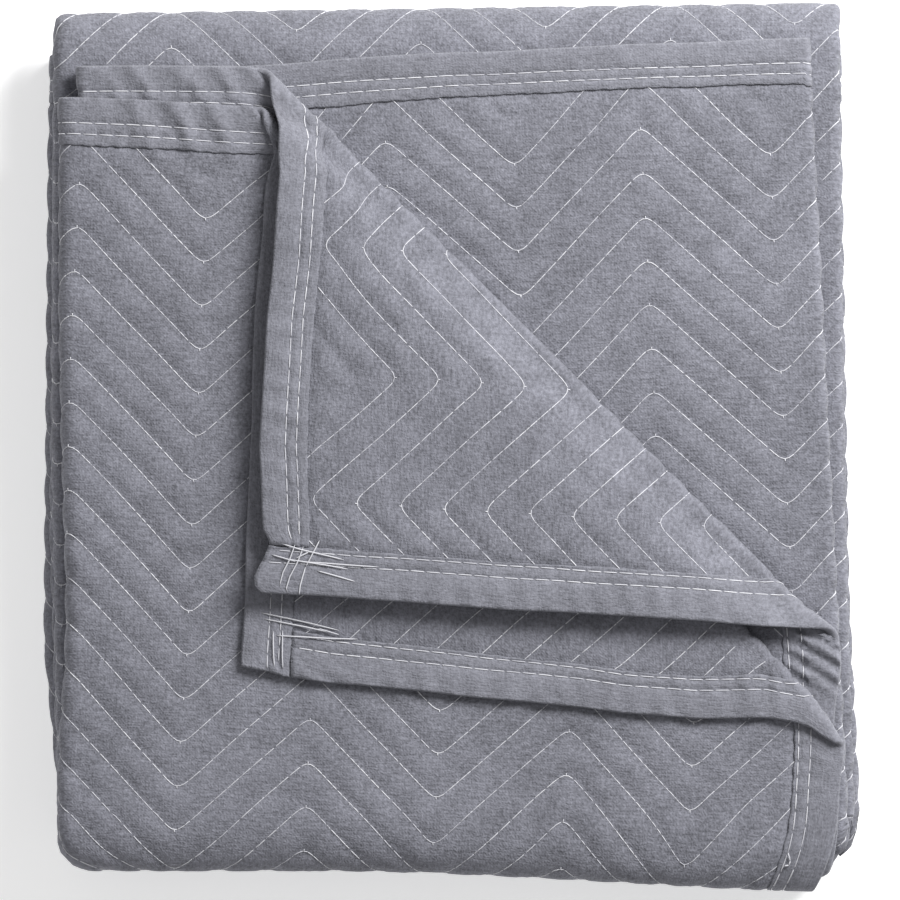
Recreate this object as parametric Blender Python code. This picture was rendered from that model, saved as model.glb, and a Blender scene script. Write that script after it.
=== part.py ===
"""Quilted moving blanket, folded in four across and in four along, with the
two free upper corners of the front layers turned down over the pack.

Lengths are in metres, +Z is up, and the folded pack lies flat.
Flat cloth coordinates:  u runs across the cloth from its far side edge,
q runs along it from its head end, h runs out of its face.
"""
import math

import bmesh
import bpy
import numpy as np
from mathutils import Vector
from mathutils.geometry import delaunay_2d_cdt

# ---- driving dimensions ------------------------------------------------
LAYER_PITCH = 0.0046        # one folded layer with the air beside it
PUFF_HALF = 0.00175         # half thickness at the top of a quilted rib
STITCH_HALF = 0.0008        # half thickness on a quilting row
PLAIN_HALF = 0.0015         # half thickness where layers press together
TONGUE_HALF = 0.0005        # half thickness of the panel inside a binding
BINDING_WIDTH = 0.028       # visible width of the binding on each face
BINDING_HALF = 0.00185      # half thickness over the binding
BINDING_WALL = 0.00105      # one face of the folded strip
CLEARANCE = 0.0003          # between the strip and the panel inside it

QUILT_PITCH = 0.0254        # row to row
QUILT_HEIGHT = 0.072        # height of the zigzag

HEAD_Y = 0.2384             # head edge of the third layer at its right end
FOOT_CENTRE_Y = -0.2120     # where the front lower fold starts to turn
LOWER_FOOT_Y = -0.2040      # where the lower fold beneath it starts to turn
TOP_CENTRE_Y = 0.2224       # where the upper fold starts to turn
LAST_REACH = 0.4337         # how far the bottom layers run up again
BEND_CENTRE = (0.03225, 0.0161)  # semi-axes of the outermost layer's bend
BEND_STATIONS = 8

LEFT_X = -0.21955           # centre of the outer left fold
INNER_LEFT_X = -0.21465     # centre of the inner left fold, head end
RIGHT_X = 0.20445           # centre of the right fold, head end
FAR_EDGE_X = 0.2025         # free edge of the second layer, head end
FRONT_WIDTH = 0.4670        # front layer, outer left fold to its free edge

HALF_TURN = math.pi
R_SMALL = 0.5 * LAYER_PITCH
R_LARGE = 1.5 * LAYER_PITCH

# Stations of the cloth across its width: where each panel starts and ends.
U_SECOND_END = FAR_EDGE_X - INNER_LEFT_X
U_THIRD_START = U_SECOND_END + HALF_TURN * R_SMALL
U_THIRD_END = U_THIRD_START + RIGHT_X - INNER_LEFT_X
U_BACK_START = U_THIRD_END + HALF_TURN * R_SMALL
U_BACK_END = U_BACK_START + RIGHT_X - LEFT_X
U_FRONT_START = U_BACK_END + HALF_TURN * R_LARGE
U_EDGE = U_FRONT_START + FRONT_WIDTH

# Stations along the folded length.
BEND_LENGTH = 0.0781
Q_FRONT = HEAD_Y - FOOT_CENTRE_Y
Q_BEND_1 = Q_FRONT + BEND_LENGTH
Q_SECOND = Q_BEND_1 + TOP_CENTRE_Y - FOOT_CENTRE_Y
Q_BEND_2 = Q_SECOND + BEND_LENGTH
Q_THIRD = Q_BEND_2 + TOP_CENTRE_Y - LOWER_FOOT_Y
Q_BEND_3 = Q_THIRD + BEND_LENGTH
Q_EDGE = Q_BEND_3 + LAST_REACH

# Sideways shift of the folds, by distance along the folded length.
# (along, shift of the right fold, shift of the left fold)
SHIFTS = (
    (-0.10, -0.0050, 0.0),
    (0.0, 0.0, 0.0),
    (Q_FRONT, 0.0225, 0.0),
    (Q_BEND_1, 0.0265, -0.0005),
    (Q_BEND_1 + 0.200, 0.0205, -0.0045),
    (Q_SECOND, 0.0180, -0.0035),
    (Q_BEND_2, 0.0180, -0.0035),
    (Q_BEND_2 + 0.270, 0.0222, -0.0060),
    (Q_THIRD, 0.0300, -0.0015),
    (Q_BEND_3, 0.0280, -0.0015),
    (Q_BEND_3 + 0.090, 0.0247, -0.0099),
    (Q_BEND_3 + 0.380, 0.0200, -0.0075),
    (Q_EDGE + 0.10, 0.0180, -0.0040),
)

# How far each layer is drawn down at the head, by place across the cloth.
# (across, drop)
DROPS = (
    (0.0, 0.0100),
    (U_SECOND_END - 0.100, 0.0168),
    (U_SECOND_END, 0.0165),
    (U_THIRD_START, 0.0165),
    (U_THIRD_START + 0.0935, 0.0168),
    (U_THIRD_START + 0.2140, 0.0087),
    (U_THIRD_END, 0.0),
    (U_BACK_START, 0.0),
    (U_BACK_END, 0.0348),
    (U_FRONT_START, 0.0348),
    (U_EDGE, 0.0560),
)

# Half width of a bend by height above the fold's middle.
# (height, half width)
NEST = (
    (0.0, 0.0024),
    (0.5 * LAYER_PITCH - 0.0019, 0.0028),
    (0.5 * LAYER_PITCH + 0.0019, 0.0066),
    (1.5 * LAYER_PITCH - 0.0019, 0.0120),
    (1.5 * LAYER_PITCH + 0.0019, 0.0158),
    (2.5 * LAYER_PITCH - 0.0019, 0.0212),
    (2.5 * LAYER_PITCH + 0.0019, 0.0250),
    (3.5 * LAYER_PITCH - 0.0019, 0.0304),
    (3.5 * LAYER_PITCH + 0.0019, 0.0342),
)

# The two turned corners: direction across the crease, its distance from
# the middle, bend radius, height of the layer in its bundle, and the
# pull that brings the corner of the cloth to where it lies.
FAR_CREASE = {
    "normal": (0.7071, 0.7071), "at": 0.0745, "radius": 0.0041,
    "height": 0.5 * LAYER_PITCH, "pull": (0.020, 0.021),
}
NEAR_CREASE = {
    "normal": (0.7218, 0.6921), "at": 0.0481, "radius": R_SMALL,
    "height": 1.5 * LAYER_PITCH, "pull": (-0.016, 0.1565),
}
CREASE_STATIONS = 6
FLAP_RISE = (0.0030, 0.0230)    # the upper corner climbs between these
FLAP_LIFT = 3 * LAYER_PITCH - 2 * FAR_CREASE["radius"]

HEM_SAG_Y = TOP_CENTRE_Y        # the head edges droop beyond this line
HEM_SAG_SHARE = 0.6             # of the drop of the fold beneath them
KNOT_STEP = 0.046               # along an end of the cloth
RIGHT_DROOP = 0.0120            # the lower fold runs down to the right
DROOP_FROM_Y = -0.200
DROOP_RUN = 0.046
DROOP_ACROSS = (-0.080, 0.330)  # starts here, and is full this much further
TOP_TILT = 0.014                # the upper fold climbs to the right
TILT_FROM_Y = 0.190
TILT_RUN = 0.040
# The lower corners of the pack are round.
# (side, starts inside this x, full from this x, starts at y, run, inset,
#  power, share on the lower fold)
CORNERS = (
    (1.0, 0.100, 0.200, -0.2040, 0.0553, 0.0154, 2.0, 1.7),
    (-1.0, 0.150, 0.210, -0.2250, 0.0223, 0.0150, 3.0, 1.0),
)


def table(rows, column, at):
    """Reads a column of a table between its rows."""
    keys = [row[0] for row in rows]
    return float(np.interp(at, keys, [row[column] for row in rows]))


def bend_angles():
    """Length along the outermost bend against the angle turned."""
    wide, high = BEND_CENTRE
    angle = np.linspace(0.0, math.pi, 181)
    step = np.hypot(wide * np.cos(angle), high * np.sin(angle))
    length = np.concatenate([[0.0], np.cumsum((step[1:] + step[:-1]) / 2)])
    return length / length[-1], angle


BEND_SHARE, BEND_ANGLE = bend_angles()


def turned(along, start):
    """Angle turned round a cross fold at a distance along the cloth."""
    share = (along - start) / BEND_LENGTH
    return float(np.interp(share, BEND_SHARE, BEND_ANGLE))


def across_share(ue):
    """0 where the cloth follows the right fold, 1 at the left fold."""
    share = (ue - U_BACK_START) / (U_BACK_END - U_BACK_START)
    return min(max(share, 0.0), 1.0)


def head_share(q):
    """How much of the drop at the head is left at a distance along."""
    return min(max((Q_SECOND - q) / (Q_SECOND - Q_BEND_1), 0.0), 1.0)


def eased(u, q):
    """Cloth coordinates to those of the tidy fold."""
    ue = u
    qe = q
    for _ in range(6):
        qe = q + table(DROPS, 1, ue) * head_share(q)
        slant = table(SHIFTS, 1, qe) - table(SHIFTS, 2, qe)
        ue = u - across_share(ue) * slant
    return ue, qe


def fold_across(ue, h):
    """Place across the pack and height in the bundle of four layers."""
    p = LAYER_PITCH
    if ue <= U_SECOND_END:
        return FAR_EDGE_X - ue, 0.5 * p - h
    if ue < U_THIRD_START:
        turn = (ue - U_SECOND_END) / R_SMALL
        reach = R_SMALL - h
        return INNER_LEFT_X - reach * math.sin(turn), reach * math.cos(turn)
    if ue <= U_THIRD_END:
        return INNER_LEFT_X + ue - U_THIRD_START, h - 0.5 * p
    if ue < U_BACK_START:
        turn = (ue - U_THIRD_END) / R_SMALL
        reach = R_SMALL + h
        return RIGHT_X + reach * math.sin(turn), reach * math.cos(turn) - p
    if ue <= U_BACK_END:
        return RIGHT_X - (ue - U_BACK_START), -1.5 * p - h
    if ue < U_FRONT_START:
        turn = (ue - U_BACK_END) / R_LARGE
        reach = R_LARGE + h
        return LEFT_X - reach * math.sin(turn), -reach * math.cos(turn)
    return LEFT_X + ue - U_FRONT_START, 1.5 * p + h


def smooth(share):
    share = min(max(share, 0.0), 1.0)
    return share * share * (3.0 - 2.0 * share)


def turn_corner(crease, x, y, height):
    """Turns what lies beyond a crease up and over."""
    nx, ny = crease["normal"]
    beyond = nx * x + ny * y - crease["at"]
    if beyond <= 0.0:
        return x, y, height
    radius = crease["radius"]
    out = height - crease["height"]
    base_x = x - nx * beyond
    base_y = y - ny * beyond
    if beyond < HALF_TURN * radius:
        turn = beyond / radius
        reach = (radius - out) * math.sin(turn)
        level = radius - (radius - out) * math.cos(turn)
        return (base_x + nx * reach, base_y + ny * reach,
                crease["height"] + level)
    flap = beyond - HALF_TURN * radius
    px, py = crease["pull"]
    x = base_x + flap * (px - nx)
    y = base_y + flap * (py - ny)
    level = 2 * radius - out
    if crease is FAR_CREASE:
        share = (flap - FLAP_RISE[0]) / (FLAP_RISE[1] - FLAP_RISE[0])
        level += FLAP_LIFT * smooth(share)
    return x, y, crease["height"] + level


def place(ue, qe, h):
    """A point of the tidy fold to its place in the pack."""
    x, height = fold_across(ue, h)
    share = across_share(ue)
    x += (1 - share) * table(SHIFTS, 1, qe) + share * table(SHIFTS, 2, qe)
    p = LAYER_PITCH
    over = height + 2 * p
    if qe <= Q_FRONT:
        y = HEAD_Y - qe
        if ue >= U_FRONT_START:
            x, y, height = turn_corner(NEAR_CREASE, x, y, height)
        elif ue <= U_SECOND_END:
            x, y, height = turn_corner(FAR_CREASE, x, y, height)
        z = 14 * p + height
        past = max(y - HEM_SAG_Y, 0.0) / NEST[-1][1]
        drop = 1 - math.sqrt(max(1 - past * past, 0.0))
        z -= HEM_SAG_SHARE * NEST[-1][0] * drop
    elif qe < Q_BEND_1:
        turn = turned(qe, Q_FRONT)
        y = FOOT_CENTRE_Y - table(NEST, 1, over) * math.sin(turn)
        z = 12 * p + over * math.cos(turn)
    elif qe <= Q_SECOND:
        y = FOOT_CENTRE_Y + qe - Q_BEND_1
        z = 12 * p - over
    elif qe < Q_BEND_2:
        turn = turned(qe, Q_SECOND)
        under = 4 * p - over
        y = TOP_CENTRE_Y + table(NEST, 1, under) * math.sin(turn)
        z = 8 * p + under * math.cos(turn)
    elif qe <= Q_THIRD:
        y = TOP_CENTRE_Y - (qe - Q_BEND_2)
        z = 4 * p + over
    elif qe < Q_BEND_3:
        turn = turned(qe, Q_THIRD)
        y = LOWER_FOOT_Y - table(NEST, 1, over) * math.sin(turn)
        z = 4 * p + over * math.cos(turn)
    else:
        y = LOWER_FOOT_Y + qe - Q_BEND_3
        z = 4 * p - over
    if Q_BEND_1 < qe < Q_THIRD:
        y += TOP_TILT * x * smooth((y - TILT_FROM_Y) / TILT_RUN)
    low = smooth((DROOP_FROM_Y - y) / DROOP_RUN)
    y -= RIGHT_DROOP * low * smooth((x - DROOP_ACROSS[0]) / DROOP_ACROSS[1])
    for side, inner, outer, start, run, inset, power, lower in CORNERS:
        past = max(start - y, 0.0) / run
        inset *= lower if qe > Q_BEND_2 else 1.0
        reach = smooth((side * x - inner) / (outer - inner))
        x -= side * inset * past ** power * reach
    return x, y, z - 0.5 * p + BINDING_HALF


# ---- quilting ----------------------------------------------------------
# The rows of each panel of the fold.
# (panel start, panel end, first upper apex, column width, row start)
QUILT_PANELS = (
    (0.0, U_SECOND_END, 0.0568, 0.0750, 0.0220),
    (U_THIRD_START, U_THIRD_END, U_THIRD_START + 0.0245, 0.0744, 0.0220),
    (U_BACK_START, U_BACK_END, U_BACK_START + 0.0225, 0.0725, 0.0170),
    (U_FRONT_START, U_EDGE, U_EDGE - 0.4592, 0.0750, 0.0225),
)


def panel_at(u):
    """The panel of the fold at a place across the cloth."""
    for panel in QUILT_PANELS:
        if u <= panel[1]:
            return panel
    return QUILT_PANELS[-1]


def row_drop(u):
    """Distance of the first quilting row from the head edge."""
    start, end, first, column, top = panel_at(u)
    share = abs((u - first) / column) % 2.0
    share = share if share < 1.0 else 2.0 - share
    return top + QUILT_HEIGHT * share


def rib_half(u, q):
    """Half thickness of the quilted cloth at a place."""
    rows = (q - row_drop(u)) / QUILT_PITCH
    share = abs((rows % 1.0) - 0.5) * 2.0
    return PUFF_HALF + (STITCH_HALF - PUFF_HALF) * share


# Where the quilting shows: panel, then corners (x, y) of a convex patch of
# the pack before its corners are turned.
QUILTED = (
    (3, ((-0.205, 0.170), (-0.120, 0.168), (-0.120, -0.206),
         (-0.205, -0.206))),
    (3, ((-0.1195, -0.118), (0.190, -0.148), (0.187, -0.206),
         (-0.1195, -0.206))),
    (3, ((0.172, 0.148), (0.206, 0.148), (0.194, -0.110), (0.172, -0.090))),
    (0, ((-0.065, 0.193), (0.176, 0.207), (0.190, -0.040),
         (0.178, -0.048))),
    (1, ((-0.085, 0.190), (0.2035, 0.2075), (0.2200, -0.090),
         (0.2050, -0.105))),
)


LEAST_PIECE = 0.004         # a shorter piece of a row is left out
LEAST_SHARE = 0.02
ROWS = range(-6, 44)        # half rows that may cross a patch
ON_PATCH = 0.0004           # how near a patch's side counts as inside it
NUDGE = 1e-9


def clip(a, b, corners):
    """The part of a segment inside a convex patch, or None."""
    enter, leave = 0.0, 1.0
    for i, corner in enumerate(corners):
        following = corners[(i + 1) % len(corners)]
        ex = following[0] - corner[0]
        ey = following[1] - corner[1]
        side_a = ex * (a[1] - corner[1]) - ey * (a[0] - corner[0])
        side_b = ex * (b[1] - corner[1]) - ey * (b[0] - corner[0])
        if side_a > 0 and side_b > 0:
            return None
        if side_a > 0 or side_b > 0:
            cross = side_a / (side_a - side_b)
            if side_a > 0:
                enter = max(enter, cross)
            else:
                leave = min(leave, cross)
    if leave - enter < LEAST_SHARE:
        return None
    return enter, leave


def quilt_lines():
    """Rows and ribs of the quilting that shows, as pairs of points."""
    lines = []
    for panel, corners in QUILTED:
        start, end, first, width, _ = QUILT_PANELS[panel]
        lowest = int(math.floor((start - first) / width))
        highest = int(math.ceil((end - first) / width))
        for column in range(lowest, highest):
            u_a = max(first + column * width, start)
            u_b = min(first + (column + 1) * width, end)
            if u_b - u_a < LEAST_PIECE:
                continue
            for half_row in ROWS:
                drop = half_row * 0.5 * QUILT_PITCH
                q_a = drop + row_drop(u_a + NUDGE)
                q_b = drop + row_drop(u_b - NUDGE)
                a = eased(u_a, q_a)
                b = eased(u_b, q_b)
                if min(a[1], b[1]) < 0.0 or min(a[1], b[1]) > Q_FRONT:
                    continue
                flat = []
                for ue, qe in (a, b):
                    x = fold_across(ue, 0.0)[0]
                    share = across_share(ue)
                    x += (1 - share) * table(SHIFTS, 1, qe)
                    flat.append((x, HEAD_Y - qe))
                part = clip(flat[0], flat[1], corners)
                if part is None:
                    continue
                ends = []
                for t in part:
                    ends.append((u_a + t * (u_b - u_a),
                                 q_a + t * (q_b - q_a)))
                lines.append(ends)
    return lines


def inside_patch(ue, qe):
    """Whether a place is where the quilting shows."""
    x = fold_across(ue, 0.0)[0]
    share = across_share(ue)
    x += (1 - share) * table(SHIFTS, 1, qe) + share * table(SHIFTS, 2, qe)
    y = HEAD_Y - qe
    for panel, corners in QUILTED:
        start, end = QUILT_PANELS[panel][:2]
        if not start <= ue <= end or qe > Q_FRONT + ON_PATCH:
            continue
        sides = []
        for i, corner in enumerate(corners):
            following = corners[(i + 1) % len(corners)]
            ex = following[0] - corner[0]
            ey = following[1] - corner[1]
            length = math.hypot(ex, ey)
            cross = ex * (y - corner[1]) - ey * (x - corner[0])
            sides.append(cross / length)
        if max(sides) < ON_PATCH:
            return True
    return False


# ---- the panel ---------------------------------------------------------
EDGE_INSET = BINDING_WALL + CLEARANCE
LAP_END = BINDING_WIDTH + 0.0004
FULL_FROM = BINDING_WIDTH + 0.0024
LAP_CORNER = 0.030          # the head line's last change before the corner
LINE_INSET = 0.001          # station lines stop this near an edge
LINE_OUTSET = 0.002
WELD = 2e-5
SAME = 1e-6


def steps(start, end, count):
    return [start + (end - start) * i / count for i in range(count + 1)]


def cross_stations():
    """Lines across the cloth where the pack turns over."""
    lines = steps(Q_FRONT, Q_BEND_1, BEND_STATIONS)
    lines += steps(Q_SECOND, Q_BEND_2, BEND_STATIONS)
    lines += steps(Q_THIRD, Q_BEND_3, BEND_STATIONS)
    for row in SHIFTS:
        nearest = min(abs(row[0] - line) for line in lines)
        if Q_BEND_1 < row[0] < Q_EDGE and nearest > LINE_INSET:
            lines.append(row[0])
    return sorted(lines)


def long_stations():
    """Lines along the cloth where it was first folded."""
    lines = steps(U_SECOND_END, U_THIRD_START, 5)
    lines += steps(U_THIRD_END, U_BACK_START, 5)
    lines += steps(U_BACK_END, U_FRONT_START, 8)
    return lines


def head_knots():
    """Places across the cloth where its head edge may change direction."""
    knots = [row[0] for row in DROPS] + long_stations()
    knots += [KNOT_STEP * i for i in range(1, int(U_EDGE / KNOT_STEP))]
    knots.sort()
    kept = [knots[0]]
    for knot in knots[1:]:
        if knot - kept[-1] > SAME:
            kept.append(knot)
    return kept


def crease_place(crease, ue, qe):
    """Distance of a place beyond the middle, square to the crease."""
    x = fold_across(ue, 0.0)[0]
    share = across_share(ue)
    x += (1 - share) * table(SHIFTS, 1, qe) + share * table(SHIFTS, 2, qe)
    nx, ny = crease["normal"]
    return nx * x + ny * (HEAD_Y - qe)


def crease_levels(crease):
    """Lines along a crease where the turned corner changes direction."""
    start = crease["at"]
    end = start + HALF_TURN * crease["radius"]
    levels = steps(start, end, CREASE_STATIONS)
    if crease is FAR_CREASE:
        levels += steps(end + FLAP_RISE[0], end + FLAP_RISE[1], 5)
    return levels


def solve(function, low, high):
    """Where a rising or falling function crosses zero."""
    at_low = function(low)
    for _ in range(50):
        middle = (low + high) / 2
        if (function(middle) > 0) == (at_low > 0):
            low = middle
        else:
            high = middle
    return (low + high) / 2


def edge_distance(ue, qe):
    """Distance of a place from the nearest edge of the cut cloth."""
    slant = table(SHIFTS, 1, qe) - table(SHIFTS, 2, qe)
    u = ue + across_share(ue) * slant
    drop = table(DROPS, 1, ue)
    q = qe - drop
    if q > Q_BEND_1:
        span = Q_SECOND - Q_BEND_1
        q = (qe - drop * Q_SECOND / span) / (1 - drop / span)
    if q > Q_SECOND:
        q = qe
    return min(u, U_EDGE - u, q, Q_EDGE - q), u, q


def panel_outline(inset):
    """Closed outline of the cloth at a distance inside its edges."""
    points = []
    knots = [k for k in head_knots() if inset < k < U_EDGE - LAP_CORNER]
    stations = cross_stations()
    head_left = eased(inset, inset)
    head_right = eased(U_EDGE - inset, inset)
    points.append(head_left)
    for knot in knots:
        points.append((knot, inset + table(DROPS, 1, knot)))
    points.append(head_right)
    for qe in stations:
        slant = table(SHIFTS, 1, qe) - table(SHIFTS, 2, qe)
        points.append((U_EDGE - inset - slant, qe))
    points.append(eased(U_EDGE - inset, Q_EDGE - inset))
    for knot in reversed(knots):
        points.append((knot, Q_EDGE - inset))
    points.append((inset, Q_EDGE - inset))
    for qe in reversed(stations):
        points.append((inset, qe))
    return points


def within(point, outline):
    """Whether a point is inside a closed outline."""
    inside = False
    x, y = point
    for i, (ax, ay) in enumerate(outline):
        bx, by = outline[i - 1]
        if (ay > y) != (by > y):
            if x < (bx - ax) * (y - ay) / (by - ay) + ax:
                inside = not inside
    return inside


def panel_triangles():
    """The flat cloth cut along every line where its form changes."""
    points = []
    edges = []

    def add(line, closed=False):
        first = len(points)
        points.extend(line)
        count = len(line)
        for i in range(count if closed else count - 1):
            edges.append((first + i, first + (i + 1) % count))

    outline = panel_outline(EDGE_INSET)
    add(outline, True)
    add(panel_outline(LAP_END), True)
    add(panel_outline(FULL_FROM), True)
    for qe in cross_stations():
        add([(LINE_INSET, qe), (U_EDGE, qe)])
    for ue in long_stations():
        add([(ue, -LINE_OUTSET), (ue, Q_EDGE + LINE_OUTSET)])
    for crease, low, high in (
            (FAR_CREASE, 0.0, U_SECOND_END - LINE_OUTSET),
            (NEAR_CREASE, U_FRONT_START + LINE_OUTSET, U_EDGE)):
        for level in crease_levels(crease):
            ends = []
            for qe in (LINE_INSET, Q_FRONT - LINE_INSET):
                def off(ue, at=qe):
                    return crease_place(crease, ue, at) - level
                if (off(low) > 0) != (off(high) > 0):
                    ends.append((solve(off, low, high), qe))
                else:
                    side = low if crease is FAR_CREASE else high

                    def down(q, at=side):
                        return crease_place(crease, at, q) - level
                    ends.append((side, solve(down, 0.0, Q_FRONT)))
            add(ends)
    for a, b in quilt_lines():
        add([eased(*a), eased(*b)])
    result = delaunay_2d_cdt(
        [Vector(p) for p in points], edges, [], 0, WELD, False)
    flat = [(v.x, v.y) for v in result[0]]
    triangles = []
    for face in result[2]:
        middle = (sum(flat[i][0] for i in face) / 3,
                  sum(flat[i][1] for i in face) / 3)
        if within(middle, outline):
            triangles.append(tuple(face))
    return flat, triangles


def thickness(ue, qe):
    """Half thickness of the panel on its face side and on its back."""
    edge, u, q = edge_distance(ue, qe)
    if edge < (LAP_END + FULL_FROM) / 2:
        return TONGUE_HALF, TONGUE_HALF
    if inside_patch(ue, qe):
        half = rib_half(u, q)
        return half, half
    if ue > U_FRONT_START - SAME and qe > Q_BEND_3 - SAME:
        return BINDING_HALF, PLAIN_HALF
    return PLAIN_HALF, PLAIN_HALF


def blanket_mesh():
    flat, triangles = panel_triangles()
    used = sorted({i for face in triangles for i in face})
    bm = bmesh.new()
    face_side = {}
    back_side = {}
    for i in used:
        out, back = thickness(*flat[i])
        face_side[i] = bm.verts.new(place(*flat[i], out))
        back_side[i] = bm.verts.new(place(*flat[i], -back))
    count = {}
    for face in triangles:
        a, b, c = face
        bm.faces.new((face_side[a], face_side[c], face_side[b]))
        bm.faces.new((back_side[a], back_side[b], back_side[c]))
        for edge in ((a, b), (b, c), (c, a)):
            key = tuple(sorted(edge))
            count[key] = count.get(key, []) + [edge]
    for uses in count.values():
        if len(uses) == 1:
            a, b = uses[0]
            bm.faces.new((face_side[a], face_side[b],
                          back_side[b], back_side[a]))
    return bm


# ---- the bindings ------------------------------------------------------
SOFT = 0.0009
PROFILE = (
    (BINDING_WIDTH, -BINDING_HALF),
    (SOFT, -BINDING_HALF),
    (0.0, SOFT - BINDING_HALF),
    (0.0, BINDING_HALF - SOFT),
    (SOFT, BINDING_HALF),
    (BINDING_WIDTH, BINDING_HALF),
    (BINDING_WIDTH, BINDING_HALF - BINDING_WALL),
    (BINDING_WALL, BINDING_HALF - BINDING_WALL),
    (BINDING_WALL, BINDING_WALL - BINDING_HALF),
    (BINDING_WIDTH, BINDING_WALL - BINDING_HALF),
)
LAP_STOP = BINDING_WIDTH + 0.0004
KNOT_FROM = 0.0334          # first change of direction past a lapped corner
KNOT_TO = 0.034             # and the last one before the other corner
BESIDE_CREASE = 0.003


def end_binding(head):
    """Stations of a strip round one end: functions of depth."""
    stations = []

    def line(ue):
        def at(depth):
            if head:
                return ue, depth + table(DROPS, 1, ue)
            return ue, Q_EDGE - depth
        return at

    def cut(u):
        def at(depth):
            return eased(u, depth if head else Q_EDGE - depth)
        return at

    def crossing(crease, level, low, high):
        def at(depth):
            def off(ue):
                qe = depth + table(DROPS, 1, ue)
                return crease_place(crease, ue, qe) - level
            ue = solve(off, low, high)
            return ue, depth + table(DROPS, 1, ue)
        return at

    stations.append((LAP_STOP, cut(LAP_STOP)))
    for knot in head_knots():
        if KNOT_FROM < knot < U_EDGE - KNOT_TO:
            stations.append((knot, line(knot)))
    if head:
        for crease, low, high in (
                (FAR_CREASE, BINDING_WIDTH, U_SECOND_END),
                (NEAR_CREASE, U_FRONT_START, U_EDGE)):
            for level in crease_levels(crease):
                at = crossing(crease, level, low, high)
                ends = sorted((at(0.0)[0], at(BINDING_WIDTH)[0]))
                low_end = ends[0] - BESIDE_CREASE
                high_end = ends[1] + BESIDE_CREASE
                stations = [s for s in stations
                            if not low_end < s[0] < high_end
                            or len(s) == 3]
                stations.append((sum(ends) / 2, at, "crease"))
    stations.append((U_EDGE, cut(U_EDGE)))
    stations.sort(key=lambda s: s[0])
    return [s[1] for s in stations]


def side_binding(near):
    """Stations of a strip along one side: functions of depth."""
    stations = []

    def across(depth, qe):
        if not near:
            return depth
        slant = table(SHIFTS, 1, qe) - table(SHIFTS, 2, qe)
        return U_EDGE - depth - slant

    def line(qe):
        def at(depth):
            return across(depth, qe), qe
        return at

    def cut(q):
        def at(depth):
            return eased(U_EDGE - depth if near else depth, q)
        return at

    def crossing(crease, level):
        def at(depth):
            def off(qe):
                return crease_place(crease, across(depth, qe), qe) - level
            qe = solve(off, 0.0, Q_FRONT)
            return across(depth, qe), qe
        return at

    crease = NEAR_CREASE if near else FAR_CREASE
    stations.append(cut(LAP_STOP if near else 0.0))
    for level in reversed(crease_levels(crease)):
        stations.append(crossing(crease, level))
    for qe in cross_stations():
        stations.append(line(qe))
    stations.append(cut(Q_EDGE - LAP_STOP if near else Q_EDGE))
    return stations


def binding_mesh(stations):
    bm = bmesh.new()
    rings = []
    for at in stations:
        ring = []
        for depth, h in PROFILE:
            ring.append(bm.verts.new(place(*at(depth), h)))
        rings.append(ring)
    count = len(PROFILE)
    for ring, following in zip(rings, rings[1:]):
        for i in range(count):
            j = (i + 1) % count
            bm.faces.new((ring[i], ring[j], following[j], following[i]))
    bm.faces.new(list(reversed(rings[0])))
    bm.faces.new(rings[-1])
    return bm


# ---- the scene ---------------------------------------------------------
# name, base colour, roughness
CLOTHS = {
    "quilted_cloth": ((0.150, 0.152, 0.166, 1.0), 0.92),
    "binding_cloth": ((0.190, 0.192, 0.205, 1.0), 0.88),
}


def cloth_material(name):
    colour, roughness = CLOTHS[name]
    material = bpy.data.materials.new(name)
    material.use_nodes = True
    shader = material.node_tree.nodes["Principled BSDF"]
    shader.inputs["Base Color"].default_value = colour
    shader.inputs["Roughness"].default_value = roughness
    shader.inputs["Metallic"].default_value = 0.0
    return material


def add_part(name, bm, cloth, shift):
    for vert in bm.verts:
        vert.co -= shift
    bmesh.ops.recalc_face_normals(bm, faces=bm.faces)
    bmesh.ops.triangulate(bm, faces=bm.faces)
    mesh = bpy.data.meshes.new(name)
    bm.to_mesh(mesh)
    bm.free()
    piece = bpy.data.objects.new(name, mesh)
    bpy.context.scene.collection.objects.link(piece)
    piece.data.materials.append(cloth_material(cloth))
    return piece


def main():
    for old in list(bpy.data.objects):
        bpy.data.objects.remove(old, do_unlink=True)
    parts = (
        ("blanket", blanket_mesh(), "quilted_cloth"),
        ("head_end_binding", binding_mesh(end_binding(True)),
         "binding_cloth"),
        ("foot_end_binding", binding_mesh(end_binding(False)),
         "binding_cloth"),
        ("near_side_binding", binding_mesh(side_binding(True)),
         "binding_cloth"),
        ("far_side_binding", binding_mesh(side_binding(False)),
         "binding_cloth"),
    )
    points = [v.co for part in parts for v in part[1].verts]
    low = [min(p[i] for p in points) for i in range(3)]
    high = [max(p[i] for p in points) for i in range(3)]
    shift = Vector(((low[0] + high[0]) / 2, (low[1] + high[1]) / 2, low[2]))
    for name, bm, cloth in parts:
        piece = add_part(name, bm, cloth, shift)
        print(name, len(piece.data.polygons))
    print("shift", tuple(shift))
    print("size", [high[i] - low[i] for i in range(3)])


main()
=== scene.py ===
# %% [markdown]
# # A folded moving blanket
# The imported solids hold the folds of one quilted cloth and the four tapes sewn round
# its edges. This lesson dresses them: a finer cloth with soft padded ribs, the tapes
# with their puckers, the sewing in light thread, and the woven finish.

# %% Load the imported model
import math

import bpy
import numpy as np
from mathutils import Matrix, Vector
from mathutils.geometry import delaunay_2d_cdt


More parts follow.
